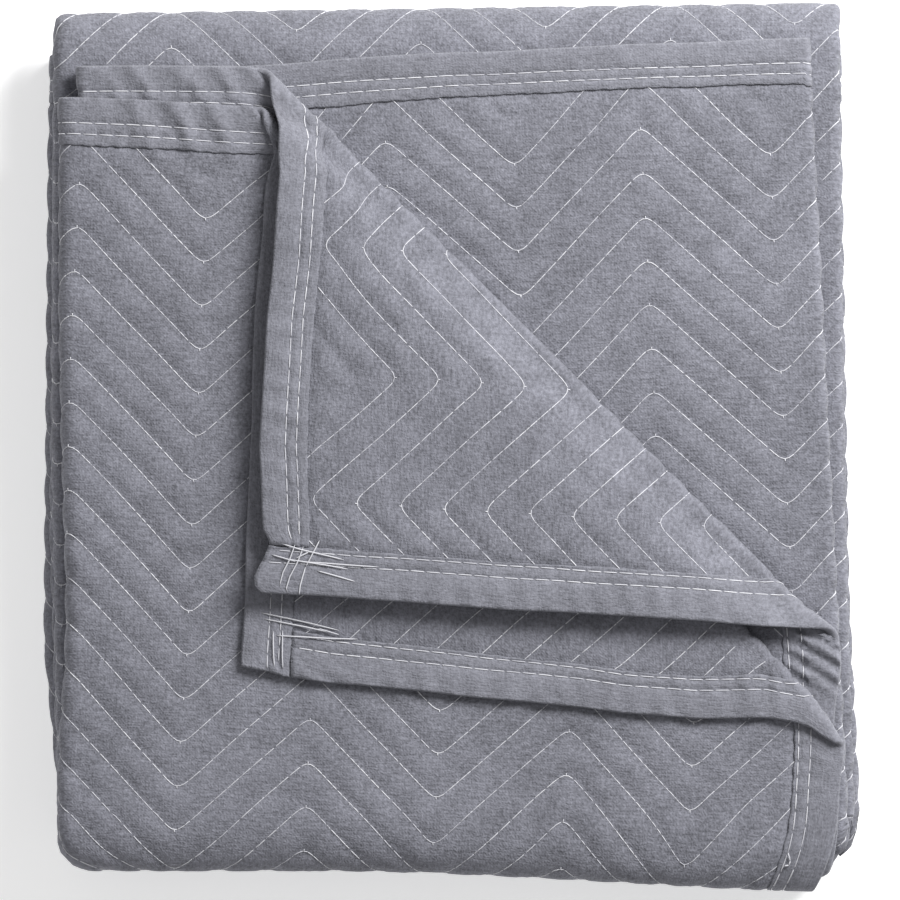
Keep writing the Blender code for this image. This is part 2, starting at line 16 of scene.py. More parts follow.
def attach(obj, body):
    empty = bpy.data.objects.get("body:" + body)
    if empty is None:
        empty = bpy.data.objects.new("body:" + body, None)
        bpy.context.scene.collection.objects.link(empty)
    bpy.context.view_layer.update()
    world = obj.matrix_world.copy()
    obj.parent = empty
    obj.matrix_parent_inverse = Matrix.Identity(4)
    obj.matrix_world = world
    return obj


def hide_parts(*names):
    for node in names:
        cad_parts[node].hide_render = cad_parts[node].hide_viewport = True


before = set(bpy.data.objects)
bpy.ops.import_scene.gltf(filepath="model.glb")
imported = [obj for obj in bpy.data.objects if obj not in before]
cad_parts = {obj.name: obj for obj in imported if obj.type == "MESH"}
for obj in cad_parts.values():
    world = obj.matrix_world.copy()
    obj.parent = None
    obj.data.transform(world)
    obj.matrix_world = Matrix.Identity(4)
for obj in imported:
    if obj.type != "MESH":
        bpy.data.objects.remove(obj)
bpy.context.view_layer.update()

print("nodes", sorted(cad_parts))

# %% [markdown]
# ## The layers of the cloth
# The cloth is folded in four across and then in four along. A piece of cloth keeps
# its lengths when it is folded, so every point of it has flat coordinates: u runs
# across from the far side edge, q runs along from the head end, h is out of the face.
# All pieces of this scene are drawn flat in these coordinates and then folded by one
# function, which is why they fit each other. The thicknesses come first.

# %% Thicknesses
LAYER_PITCH = 0.0046
PUFF_HALF = 0.0021
STITCH_HALF = 0.0007
PLAIN_HALF = 0.0015
TONGUE_HALF = 0.0005
BINDING_WIDTH = 0.028
BINDING_HALF = 0.00185
R_SMALL = 0.5 * LAYER_PITCH
R_LARGE = 1.5 * LAYER_PITCH
print("sixteen layers are %.4f m high" % (16 * LAYER_PITCH))

# %% [markdown]
# ## Where the folds lie
# The cloth's sizes could be given, with the folds marked on it. But what a maker sees
# is the pack, so the folds are given by their places in it. The flat width and length
# then follow from the straight parts and from the length of each bend.

# %% Places of the folds
HEAD_Y = 0.2384
FOOT_CENTRE_Y = -0.2120
LOWER_FOOT_Y = -0.2040
TOP_CENTRE_Y = 0.2224
LAST_REACH = 0.4337
LEFT_X = -0.21955
INNER_LEFT_X = -0.21465
RIGHT_X = 0.20445
FAR_EDGE_X = 0.2025
FRONT_WIDTH = 0.4670
BEND_LENGTH = 0.0781
PACK_MIDDLE = (0.000107, 0.000708, 0.0)

U_SECOND_END = FAR_EDGE_X - INNER_LEFT_X
U_THIRD_START = U_SECOND_END + math.pi * R_SMALL
U_THIRD_END = U_THIRD_START + RIGHT_X - INNER_LEFT_X
U_BACK_START = U_THIRD_END + math.pi * R_SMALL
U_BACK_END = U_BACK_START + RIGHT_X - LEFT_X
U_FRONT_START = U_BACK_END + math.pi * R_LARGE
U_EDGE = U_FRONT_START + FRONT_WIDTH

Q_FRONT = HEAD_Y - FOOT_CENTRE_Y
Q_BEND_1 = Q_FRONT + BEND_LENGTH
Q_SECOND = Q_BEND_1 + TOP_CENTRE_Y - FOOT_CENTRE_Y
Q_BEND_2 = Q_SECOND + BEND_LENGTH
Q_THIRD = Q_BEND_2 + TOP_CENTRE_Y - LOWER_FOOT_Y
Q_BEND_3 = Q_THIRD + BEND_LENGTH
Q_EDGE = Q_BEND_3 + LAST_REACH
print("flat cloth %.3f by %.3f m" % (U_EDGE, Q_EDGE))

# %% [markdown]
# ## One function folds everything
# A sheet can be folded by simulation, but sixteen layers would tangle. Here each fold
# is a known curve, so the place of a flat point is worked out directly, for thousands
# of points at once with numpy. The next cells build that function step by step, from
# three small helpers: reading a table, an even start and stop, and soft unevenness.

# %% Helpers
def column(rows, index, at):
    """Reads a column of a table between its rows."""
    return np.interp(at, [row[0] for row in rows], [row[index] for row in rows])


def smooth(share):
    """0 to 1 with an even start and stop."""
    share = np.clip(share, 0.0, 1.0)
    return share * share * (3.0 - 2.0 * share)


def soft_noise(a, b, seed):
    """Smooth unevenness made of a few waves, from -1 to 1."""
    total = 0.0
    for k in range(5):
        angle = 1.7 * k + seed
        scale = 1.0 + 0.55 * k
        wave = math.cos(angle) * a * scale + math.sin(angle) * b * scale
        total = total + np.sin(wave + 2.3 * seed + 1.1 * k) / (1.0 + 0.4 * k)
    return total / 3.0


print("a quarter of the way is smoothed to", float(smooth(0.25)))

# %% [markdown]
# Nobody folds quite squarely: each side fold leans, and the layers slip down at the
# head. That could be done to the finished pack, but then the cloth would stretch. So
# the flat place is sheared instead, and the cloth is then folded as if it lay tidily.

# %% Lean of the folds
# along, shift of the right fold, shift of the left fold
SHIFTS = (
    (-0.10, -0.0050, 0.0), (0.0, 0.0, 0.0), (Q_FRONT, 0.0225, 0.0),
    (Q_BEND_1, 0.0265, -0.0005), (Q_BEND_1 + 0.200, 0.0205, -0.0045),
    (Q_SECOND, 0.0180, -0.0035), (Q_BEND_2, 0.0180, -0.0035),
    (Q_BEND_2 + 0.270, 0.0222, -0.0060), (Q_THIRD, 0.0300, -0.0015),
    (Q_BEND_3, 0.0280, -0.0015), (Q_BEND_3 + 0.090, 0.0247, -0.0099),
    (Q_BEND_3 + 0.380, 0.0200, -0.0075), (Q_EDGE + 0.10, 0.0180, -0.0040),
)
# across, drop of the layer at the head
DROPS = (
    (0.0, 0.0100), (U_SECOND_END - 0.100, 0.0168), (U_SECOND_END, 0.0165),
    (U_THIRD_START, 0.0165), (U_THIRD_START + 0.0935, 0.0168),
    (U_THIRD_START + 0.2140, 0.0087), (U_THIRD_END, 0.0), (U_BACK_START, 0.0),
    (U_BACK_END, 0.0348), (U_FRONT_START, 0.0348), (U_EDGE, 0.0560),
)
EASING_ROUNDS = 6


def across_share(ue):
    return np.clip((ue - U_BACK_START) / (U_BACK_END - U_BACK_START), 0.0, 1.0)


def head_share(q):
    return np.clip((Q_SECOND - q) / (Q_SECOND - Q_BEND_1), 0.0, 1.0)


def slant(qe):
    return column(SHIFTS, 1, qe) - column(SHIFTS, 2, qe)


def leaned(x, ue, qe):
    """Place across the pack, moved with the lean of the fold that is nearest."""
    share = across_share(ue)
    return x + (1 - share) * column(SHIFTS, 1, qe) + share * column(SHIFTS, 2, qe)


def eased(u, q):
    """Flat cloth coordinates to those of the tidy fold."""
    ue, qe = u, q
    for _ in range(EASING_ROUNDS):
        qe = q + column(DROPS, 1, ue) * head_share(q)
        ue = u - across_share(ue) * slant(qe)
    return ue, qe


def uneased(ue, qe):
    """The tidy fold's coordinates back to those of the flat cloth."""
    u = ue + across_share(ue) * slant(qe)
    drop = column(DROPS, 1, ue)
    span = Q_SECOND - Q_BEND_1
    late = (qe - drop * Q_SECOND / span) / (1 - drop / span)
    q = np.where(qe - drop > Q_BEND_1, late, qe - drop)
    return u, np.where(q > Q_SECOND, qe, q)


print("the front layer's near corner hangs %.3f m low" % DROPS[-1][1])

# %% [markdown]
# Across the pack the cloth is folded in four, with upright folds at the left and the
# right. Each fold is a half circle round the layers inside it, so the bundle has the
# same gap everywhere. The straight parts and the half circles are picked by zone.

# %% The folds across
def fold_across(ue, h):
    """Place across the pack, and height in the bundle of four layers."""
    p = LAYER_PITCH
    in_turn = (ue - U_SECOND_END) / R_SMALL
    right_turn = (ue - U_THIRD_END) / R_SMALL
    out_turn = (ue - U_BACK_END) / R_LARGE
    zones = [ue <= U_SECOND_END, ue < U_THIRD_START, ue <= U_THIRD_END,
             ue < U_BACK_START, ue <= U_BACK_END, ue < U_FRONT_START]
    x = np.select(zones, [
        FAR_EDGE_X - ue,
        INNER_LEFT_X - (R_SMALL - h) * np.sin(in_turn),
        INNER_LEFT_X + ue - U_THIRD_START,
        RIGHT_X + (R_SMALL + h) * np.sin(right_turn),
        RIGHT_X - (ue - U_BACK_START),
        LEFT_X - (R_LARGE + h) * np.sin(out_turn),
    ], LEFT_X + ue - U_FRONT_START)
    height = np.select(zones, [
        0.5 * p - h,
        (R_SMALL - h) * np.cos(in_turn),
        h - 0.5 * p,
        (R_SMALL + h) * np.cos(right_turn) - p,
        -1.5 * p - h,
        -(R_LARGE + h) * np.cos(out_turn),
    ], 1.5 * p + h)
    return x, height


print("side folds at x = %.3f and %.3f m" % (LEFT_X - R_LARGE, RIGHT_X + R_SMALL))

# %% [markdown]
# Along the pack the bundle of four is folded in four again, by three level bends. In a
# thick bundle the outer layers go round further than the inner ones, and the bend
# stands out further than a half circle would. An oval gives that shape, and a table
# says how far it reaches for a layer at each height in the bundle.

# %% The bends along
# half width and half height of the oval that the outermost layer of a bend follows
BEND_OVAL = (0.03225, 0.0161)
BEND_ANGLE = np.linspace(0.0, math.pi, 181)
BEND_STEP = np.hypot(BEND_OVAL[0] * np.cos(BEND_ANGLE), BEND_OVAL[1] * np.sin(BEND_ANGLE))
BEND_SHARE = np.concatenate([[0.0], np.cumsum((BEND_STEP[1:] + BEND_STEP[:-1]) / 2)])
BEND_SHARE = BEND_SHARE / BEND_SHARE[-1]
NEST_EDGE = 0.0019
# height above the middle of a bend, how far the bend reaches there
NEST = (
    (0.0, 0.0024), (0.5 * LAYER_PITCH - NEST_EDGE, 0.0028),
    (0.5 * LAYER_PITCH + NEST_EDGE, 0.0066), (1.5 * LAYER_PITCH - NEST_EDGE, 0.0120),
    (1.5 * LAYER_PITCH + NEST_EDGE, 0.0158), (2.5 * LAYER_PITCH - NEST_EDGE, 0.0212),
    (2.5 * LAYER_PITCH + NEST_EDGE, 0.0250), (3.5 * LAYER_PITCH - NEST_EDGE, 0.0304),
    (3.5 * LAYER_PITCH + NEST_EDGE, 0.0342),
)
HEM_SAG_Y = TOP_CENTRE_Y
HEM_SAG_SHARE = 0.6


def turned(along, start):
    """Angle round a bend at a length along the cloth."""
    return np.interp((along - start) / BEND_LENGTH, BEND_SHARE, BEND_ANGLE)


def round_end(centre, way, reach, turn):
    return centre + way * reach * np.sin(turn)


def bent_along(qe, y0, bundle, height):
    """Place along the pack and height over the floor, once the bends are made.

    The bundle height is the smooth one; the other one carries the wrinkles on top."""
    p = LAYER_PITCH
    over = bundle + 2 * p
    under = 4 * p - over
    past = np.maximum(y0 - HEM_SAG_Y, 0.0) / NEST[-1][1]
    sag = HEM_SAG_SHARE * NEST[-1][0] * (1 - np.sqrt(np.maximum(1 - past * past, 0.0)))
    t1, t2, t3 = turned(qe, Q_FRONT), turned(qe, Q_SECOND), turned(qe, Q_THIRD)
    wide, wide_under = column(NEST, 1, over), column(NEST, 1, under)
    zones = [qe <= Q_FRONT, qe < Q_BEND_1, qe <= Q_SECOND, qe < Q_BEND_2, qe <= Q_THIRD,
             qe < Q_BEND_3]
    y = np.select(zones, [
        y0, round_end(FOOT_CENTRE_Y, -1, wide, t1), FOOT_CENTRE_Y + qe - Q_BEND_1,
        round_end(TOP_CENTRE_Y, 1, wide_under, t2), TOP_CENTRE_Y - (qe - Q_BEND_2),
        round_end(LOWER_FOOT_Y, -1, wide, t3)], LOWER_FOOT_Y + qe - Q_BEND_3)
    z = np.select(zones, [
        14 * p + height - sag, 12 * p + over * np.cos(t1), 12 * p - over,
        8 * p + under * np.cos(t2), 4 * p + over, 4 * p + over * np.cos(t3)], 4 * p - over)
    return y, z


print("a bend reaches %.4f m past its middle" % NEST[-1][1])

# %% [markdown]
# ## The two turned corners
# Two layers on top have one corner each turned down along a slanting crease. A crease
# is a small half round, so the corner is rolled over a thin bar: what lies beyond the
# crease goes round it and comes back on top. The second layer's corner also has to
# climb over the front layer's corner, on which it lies.

# %% Turned corners
FAR_CREASE = {
    "normal": (0.7071, 0.7071), "at": 0.0745, "radius": 0.0041,
    "height": 0.5 * LAYER_PITCH, "pull": (0.020, 0.021),
}
NEAR_CREASE = {
    "normal": (0.7218, 0.6921), "at": 0.0481, "radius": R_SMALL,
    "height": 1.5 * LAYER_PITCH, "pull": (-0.016, 0.1565),
}
FLAP_RISE = (0.0030, 0.0230)
FLAP_LIFT = 3 * LAYER_PITCH - 2 * FAR_CREASE["radius"]
FLAP_PUFF = 0.0095
PUFF_RUN = 0.060


def crease_side(crease, x, y):
    """Distance beyond a crease."""
    return crease["normal"][0] * x + crease["normal"][1] * y - crease["at"]


def turn_corner(crease, x, y, height):
    """Turns what lies beyond a crease up and over."""
    nx, ny = crease["normal"]
    radius = crease["radius"]
    beyond = crease_side(crease, x, y)
    out = height - crease["height"]
    base_x = x - nx * beyond
    base_y = y - ny * beyond
    turn = np.clip(beyond / radius, 0.0, math.pi)
    reach = (radius - out) * np.sin(turn)
    bend_z = crease["height"] + radius - (radius - out) * np.cos(turn)
    flap = beyond - math.pi * radius
    px, py = crease["pull"]
    flap_z = crease["height"] + 2 * radius - out
    if crease is FAR_CREASE:
        rise = (flap - FLAP_RISE[0]) / (FLAP_RISE[1] - FLAP_RISE[0])
        flap_z = flap_z + FLAP_LIFT * smooth(rise)
        flap_z = flap_z + FLAP_PUFF * np.sin(0.5 * math.pi * np.clip(flap / PUFF_RUN, 0.0, 1.0))
    zones = [beyond <= 0.0, flap < 0.0]
    return (np.select(zones, [x, base_x + nx * reach], base_x + flap * (px - nx)),
            np.select(zones, [y, base_y + ny * reach], base_y + flap * (py - ny)),
            np.select(zones, [height, bend_z], flap_z))


def top_layer(near, far, past_near, past_far, third):
    """1 front, 2 second, 3 third, 4 far corner, 5 near corner, 0 any other layer."""
    return np.select([near & (past_near > 0), near, far & (past_far > 0), far, third],
                     [5, 1, 4, 2, 3], 0)


print("the far corner climbs", round(FLAP_LIFT, 4), "m")

# %% [markdown]
# Cloth that is pulled in by a hem or turned at a crease gathers in small folds. Each
# patch of them is a row of low ridges that fades out round its middle. They only go
# upwards, so they never dip into the layer below.

# %% Wrinkles
# layer, middle x and y, reach x and y, direction, length of one fold, height
WRINKLES = (
    (1, -0.146, 0.190, 0.044, 0.028, 0.46, 0.0210, 0.0029),
    (1, -0.128, 0.150, 0.034, 0.024, 1.30, 0.0090, 0.0013),
    (2, -0.152, 0.206, 0.050, 0.024, 0.50, 0.0200, 0.0020),
    (3, 0.040, 0.150, 0.170, 0.055, 1.45, 0.0090, 0.0007),
    (2, 0.2150, -0.1190, 0.018, 0.021, 0.92, 0.0080, 0.0058),
    (4, -0.097, 0.060, 0.012, 0.120, 1.40, 0.0160, 0.0011),
    (4, 0.060, -0.092, 0.160, 0.016, 0.25, 0.0150, 0.0012),
    (5, 0.060, -0.142, 0.170, 0.016, 0.20, 0.0150, 0.0012),
    (5, -0.086, -0.134, 0.036, 0.012, 1.05, 0.0090, 0.0016),
)
WANDER = 2.4
WANDER_ALONG, WANDER_ACROSS = 50, 45
RIDGE_POWER = 1.6
FADE_SCALE = 70


def wrinkles(x, y, base):
    """Small folds of the gathered places, upwards only."""
    rise = np.zeros_like(x)
    for layer, cx, cy, rx, ry, angle, length, amount in WRINKLES:
        inside = np.exp(-(((x - cx) / rx) ** 4 + ((y - cy) / ry) ** 4))
        across = math.cos(angle) * x + math.sin(angle) * y
        along = math.cos(angle) * y - math.sin(angle) * x
        wander = soft_noise(along * WANDER_ALONG, across * WANDER_ACROSS, cx * 40)
        phase = 2 * math.pi * across / length + WANDER * wander
        ridge = (0.5 + 0.5 * np.sin(phase)) ** RIDGE_POWER
        fade = 0.75 + 0.25 * soft_noise(x * FADE_SCALE, y * FADE_SCALE, cy * 30)
        rise = rise + np.where(base == layer, amount * inside * ridge * fade, 0.0)
    return rise


print(len(WRINKLES), "patches of wrinkles, up to", max(row[-1] for row in WRINKLES), "m high")

# %% [markdown]
# A hem is never a straight line once the cloth has been handled. Its shifts are given
# at a few places on the pack and read between them, and they fade out towards the
# crease. Where a layer and its turned corner meet at the crease, both are nudged
# together, because nudging one alone would tear the cloth.

# %% Hems out of line
# height on the pack, shift across of the outer hem of each turned corner
FAR_HEM = (
    (-0.0870, 0.0035), (-0.0800, -0.0040), (-0.0730, -0.0042), (-0.0640, 0.0010),
    (-0.0545, 0.0050), (-0.0480, 0.0010), (-0.0400, 0.0), (0.0, -0.0023),
    (0.0766, 0.0017), (0.1102, 0.0052), (0.1600, 0.0086), (0.1821, 0.0056),
    (0.1978, 0.0045), (0.2160, 0.0),
)
FAR_HEM_RUN = (-0.0760, -0.0340)
FAR_NOTCH_Y = -0.0400
FAR_NOTCH_RUN = (-0.1040, -0.0820)
NEAR_HEM = (
    (-0.1250, 0.0), (-0.1177, 0.0), (-0.0841, 0.0023), (-0.0510, 0.0029), (-0.0012, 0.0041),
    (0.0766, 0.0064), (0.1015, 0.0081), (0.1264, 0.0104), (0.1833, 0.0128), (0.2000, 0.0100),
)
NEAR_HEM_RUN = (-0.0900, -0.0300)
# place across, shift along of the lower hem of the near corner
LOW_HEM = (
    (-0.1160, 0.0), (-0.0963, -0.0035), (-0.0690, -0.0046), (-0.0412, -0.0040),
    (0.0, -0.0038), (0.0742, -0.0032), (0.0992, -0.0042), (0.1409, -0.0032),
    (0.1830, 0.0018), (0.2100, 0.0010), (0.2190, -0.0040), (0.2256, -0.0105),
)
LOW_HEM_RUN = (-0.1250, -0.0900)
FREE_RUN = 0.020
# which layers, middle, reach, shift
NUDGES = (
    ((1, 5), (-0.1140, 0.1930), (0.0240, 0.0260), (0.0100, -0.0012)),
    ((1, 5), (0.2256, -0.1665), (0.0140, 0.0180), (0.0005, -0.0095)),
    ((2, 4), (0.2230, -0.1200), (0.0200, 0.0260), (0.0060, 0.0)),
    ((2, 4), (-0.0876, 0.2018), (0.0180, 0.0220), (0.0075, -0.0075)),
    ((2, 4), (-0.0880, 0.1840), (0.0190, 0.0110), (0.0038, 0.0)),
    ((3,), (0.0500, 0.2060), (0.2500, 0.0150), (0.0, 0.0024)),
)


def fades_out(at, run):
    """1 at the first end of a run, 0 at its second end."""
    return smooth((run[1] - at) / (run[1] - run[0]))


def settled(x, y, base, past_near, past_far):
    """Lets the hems and corners of the top layers lie a little out of line."""
    free = smooth((past_far - math.pi * FAR_CREASE["radius"]) / FREE_RUN)
    edge = np.where(y < FAR_NOTCH_Y, fades_out(x, FAR_NOTCH_RUN), fades_out(x, FAR_HEM_RUN))
    shift_x = np.where(base == 4, free * edge * column(FAR_HEM, 1, y), 0.0)
    free = smooth((past_near - math.pi * NEAR_CREASE["radius"]) / FREE_RUN)
    edge = fades_out(x, NEAR_HEM_RUN)
    shift_x = shift_x + np.where(base == 5, free * edge * column(NEAR_HEM, 1, y), 0.0)
    edge = fades_out(y, LOW_HEM_RUN)
    shift_y = np.where(base == 5, free * edge * column(LOW_HEM, 1, x), 0.0)
    for layers, middle, reach, shift in NUDGES:
        near = np.exp(-((x - middle[0]) / reach[0]) ** 2 - ((y - middle[1]) / reach[1]) ** 2)
        near = np.where(np.isin(base, layers), near, 0.0)
        shift_x = shift_x + near * shift[0]
        shift_y = shift_y + near * shift[1]
    return x + shift_x, y + shift_y


print(len(NUDGES), "corners and edges are nudged")

# %% [markdown]
# The pack's outline is soft as well. Its ends tilt and droop, the lower bundle slips out
# at the right, and the thick bends round off towards their corners. These shifts move
# whole bundles of layers, so they are made last.

# %% Outline
# height on the pack, how far the left side of the top bundle is pushed in
LEFT_DENT = (
    (-0.230, -0.0009), (-0.193, -0.0006), (-0.169, 0.0006), (-0.146, 0.0018),
    (-0.135, 0.0030), (-0.111, 0.0041), (-0.077, 0.0041), (0.000, 0.0018), (0.068, 0.0003),
    (0.240, 0.0),
)
DENT_FROM_X, DENT_RUN = 0.120, 0.090
TOP_TILT, TILT_FROM_Y, TILT_RUN = 0.014, 0.190, 0.040
RIGHT_DROOP, DROOP_FROM_Y, DROOP_RUN = 0.0120, -0.200, 0.046
DROOP_ACROSS = (-0.080, 0.330)
LOWER_SLIP = 0.0120
SLIP_FROM_X, SLIP_ACROSS = 0.208, 0.018
SLIP_BELOW_Y, SLIP_RUN = 0.195, 0.030
# side, from this x, to this x, starts at y, run, inset, power; for the upper, lower fold
CORNERS = (
    (1.0, 0.100, 0.200, -0.2040, 0.0553, (0.0125, 2.2), (0.0270, 3.0)),
    (-1.0, 0.150, 0.210, -0.2250, 0.0223, (0.0150, 3.0), (0.0150, 3.0)),
)


def softened(x, y, qe):
    """Tilts, droops and rounds the outline of the pack."""
    tilted = (qe > Q_BEND_1) & (qe < Q_THIRD)
    y = y + np.where(tilted, TOP_TILT * x * smooth((y - TILT_FROM_Y) / TILT_RUN), 0.0)
    low = smooth((DROOP_FROM_Y - y) / DROOP_RUN)
    y = y - RIGHT_DROOP * low * smooth((x - DROOP_ACROSS[0]) / DROOP_ACROSS[1])
    slip = smooth((x - SLIP_FROM_X) / SLIP_ACROSS) * smooth((-y - SLIP_BELOW_Y) / SLIP_RUN)
    y = y - np.where(qe > Q_BEND_2, LOWER_SLIP * slip, 0.0)
    for side, inner, outer, start, run, upper, lower in CORNERS:
        past = np.maximum(start - y, 0.0) / run
        inset = np.where(qe > Q_BEND_2, lower[0] * past ** lower[1], upper[0] * past ** upper[1])
        x = x - side * inset * smooth((side * x - inner) / (outer - inner))
    return x, y


print("the lower right corner droops by up to", RIGHT_DROOP, "m")

# %% [markdown]
# Now the steps are put in their order: fold across, lean, turn the two corners, wrinkle
# and settle the top, bend along, soften the outline. A slow ripple of the flat
# coordinates comes before all of them, and makes every row and hem a little uneven.

# %% From flat cloth to the pack
RIPPLE = 0.0006
RIPPLE_SCALE = 45


def place_tidy(ue, qe, h):
    """A point of the tidy fold to its place in the pack."""
    ue, qe, h = (np.asarray(a, float) for a in np.broadcast_arrays(ue, qe, h))
    x, height = fold_across(ue, h)
    x = leaned(x, ue, qe)
    y = HEAD_Y - qe
    past_near, past_far = crease_side(NEAR_CREASE, x, y), crease_side(FAR_CREASE, x, y)
    nx, ny, nz = turn_corner(NEAR_CREASE, x, y, height)
    fx, fy, fz = turn_corner(FAR_CREASE, x, y, height)
    first = qe <= Q_FRONT
    near = first & (ue >= U_FRONT_START)
    far = first & (ue <= U_SECOND_END)
    x = np.where(near, nx, np.where(far, fx, x))
    y = np.where(near, ny, np.where(far, fy, y))
    height = np.where(near, nz, np.where(far, fz, height))
    third = first & (ue >= U_THIRD_START) & (ue <= U_THIRD_END)
    base = top_layer(near, far, past_near, past_far, third)
    bundle = height
    height = height + wrinkles(x, y, base)
    x, y = settled(x, y, base, past_near, past_far)
    dent = column(LEFT_DENT, 1, y) * smooth((-x - DENT_FROM_X) / DENT_RUN)
    x = x + np.where(first, dent, 0.0)
    y, z = bent_along(qe, y, bundle, height)
    x, y = softened(x, y, qe)
    z = z - 0.5 * LAYER_PITCH + BINDING_HALF
    return np.stack([x, y, z], axis=-1) - np.array(PACK_MIDDLE)


def place(u, q, h):
    """A point of the flat cloth to its place in the pack."""
    drift_u = RIPPLE * soft_noise(u * RIPPLE_SCALE, q * RIPPLE_SCALE, 4.0)
    drift_q = RIPPLE * soft_noise(u * RIPPLE_SCALE, q * RIPPLE_SCALE, 7.0)
    ue, qe = eased(u + drift_u, q + drift_q)
    return place_tidy(ue, qe, h)


corner = place(np.array([0.0]), np.array([0.0]), 0.0)[0]
print("far head corner lies at", [round(float(c), 4) for c in corner])

# %% [markdown]
# ## Where the cloth shows
# Most of the cloth is inside the pack. A fine mesh everywhere would be wasted there,
# so the surface gets close points only where it can be seen. That is told from the
# layer a point is in and from its distance to the two creases.

# %% What shows
HAIR, OVERLAP, PEEK, TURN_PEEK, LAST_PEEK = 0.001, 0.002, 0.012, 0.010, 0.004
# the turned corners cover the front layer right of this x and above this sloping y
COVER_X, COVER_Y, COVER_SLOPE = -0.100, -0.108, 0.10
COVER_PEEK = 0.006
# the third layer shows again beside the right fold, from this x on top and in the bend
THIRD_X, THIRD_BEND_X = 0.186, 0.200
# the back of the front layer shows along its side hem and along its head hem
SIDE_STRIP, HEAD_STRIP = 0.110, 0.095
# the back of the second layer shows beside the lower end of the far crease
TIP_X, TIP_Y = 0.160, -0.085


def crease_distance(crease, ue, qe):
    """Distance beyond a crease of a place on the flat pack, and its place across."""
    x = leaned(fold_across(ue, 0.0)[0], ue, qe)
    return crease_side(crease, x, HEAD_Y - qe), x


def face_shows(ue, qe, near, far, x, front, second, top):
    """2 where the face shows from above or a side, 1 underneath, 0 inside."""
    left_turn = (ue >= U_BACK_END - TURN_PEEK) & (ue < U_FRONT_START)
    right_turn = (ue > U_THIRD_END - HAIR) & (ue < U_BACK_START + TURN_PEEK)
    third = (ue >= U_THIRD_START) & (ue <= U_THIRD_END + HAIR)
    back = (ue >= U_BACK_START - HAIR) & (ue <= U_BACK_END)
    low_bend = (qe >= Q_FRONT - OVERLAP) & (qe <= Q_BEND_1 + PEEK)
    high_bend = (qe >= Q_SECOND - PEEK) & (qe <= Q_BEND_2 + PEEK)
    last_bend = (qe >= Q_THIRD - PEEK) & (qe <= Q_BEND_3 + LAST_PEEK)
    covered = (x > COVER_X) & (HEAD_Y - qe > COVER_Y - COVER_SLOPE * (x - COVER_X))
    fine = front & top & (near < PEEK) & ~(covered & (near < -COVER_PEEK))
    fine = fine | (front & (low_bend | last_bend))
    fine = fine | (second & top & (far > -LAST_PEEK))
    fine = fine | (third & top & ((far > -PEEK) | (x > THIRD_X)))
    fine = fine | (third & low_bend & (x > THIRD_BEND_X))
    fine = fine | (back & high_bend)
    fine = fine | left_turn | right_turn
    under = front & (qe > Q_BEND_3)
    return np.where(fine, 2, np.where(under, 1, 0))


def shows(ue, qe, face):
    """How well a place shows: 2 from above or a side, 1 underneath, 0 not at all."""
    near, x = crease_distance(NEAR_CREASE, ue, qe)
    far, _ = crease_distance(FAR_CREASE, ue, qe)
    front = ue >= U_FRONT_START - OVERLAP
    second = ue <= U_SECOND_END
    top = qe <= Q_FRONT + OVERLAP
    if face:
        return face_shows(ue, qe, near, far, x, front, second, top)
    strip = (U_EDGE - ue < SIDE_STRIP) | (qe < HEAD_STRIP)
    fine = front & top & (near > 0.0) & strip
    tip = (x > TIP_X) & (HEAD_Y - qe < TIP_Y) & (far < LAST_PEEK)
    return np.where(fine | (second & top & tip), 2, 0)


tried_u, tried_q = np.meshgrid(np.arange(0.0, U_EDGE, 0.01), np.arange(0.0, Q_EDGE, 0.01))
print("share of the face that shows %.2f" % (shows(*eased(tried_u, tried_q), True) == 2).mean())

# %% [markdown]
# ## The quilting
# The padding is held by rows sewn in a zigzag, one inch apart. Between two rows the
# cloth puffs up, and along a row it is pulled in. The needle turns at each apex, which
# leaves the corner a little round. One line across the cloth describes every row, and
# blurring that line a little rounds its corners.

# %% The line of a row
QUILT_PITCH = 0.0254
QUILT_HEIGHT = 0.072
APEX_ROUND = 0.0033
ROW_SAMPLE = 0.0004
FIRST_ROW = -8
LAST_ROW = int(Q_EDGE / QUILT_PITCH) + 2
NEAR_APEX = U_EDGE - 0.1592
# panel start, panel end, an upper apex, column width, row start, zigzag, rows passed
QUILT_PANELS = (
    (0.0, U_SECOND_END, 0.0568, 0.0750, 0.0278, 0.0774, 0),
    (U_THIRD_START, U_THIRD_END, U_THIRD_START + 0.0245, 0.0744, 0.0220, QUILT_HEIGHT, 1),
    (U_BACK_START, U_BACK_END, U_BACK_START + 0.0225, 0.0725, 0.0170, QUILT_HEIGHT, 2),
    (U_FRONT_START, NEAR_APEX, U_EDGE - 0.4592, 0.0750, 0.0225, QUILT_HEIGHT, 2),
    (NEAR_APEX, U_EDGE, NEAR_APEX, 0.0728, 0.0225, QUILT_HEIGHT, 2),
)


def row_table():
    """The drop of a row across the cloth, rounded at each apex."""
    us, drops = [], []
    for start, end, first, width, top, zigzag, passed in QUILT_PANELS:
        u = np.arange(start, end, ROW_SAMPLE)
        share = np.abs((u - first) / width) % 2.0
        share = np.where(share < 1.0, share, 2.0 - share)
        us.append(u)
        drops.append(top + zigzag * share + passed * QUILT_PITCH)
    fine_u = np.arange(0.0, U_EDGE + 0.5 * ROW_SAMPLE, ROW_SAMPLE)
    sharp = np.interp(fine_u, np.concatenate(us), np.concatenate(drops))
    reach = int(3 * APEX_ROUND / ROW_SAMPLE)
    bell = np.exp(-0.5 * (np.arange(-reach, reach + 1) * ROW_SAMPLE / APEX_ROUND) ** 2)
    padded = np.pad(sharp, reach, mode="edge")
    return fine_u, np.convolve(padded, bell / bell.sum(), mode="valid")


ROW_U, ROW_DROP = row_table()
print("one row drops from %.3f to %.3f m" % (ROW_DROP.min(), ROW_DROP.max()))

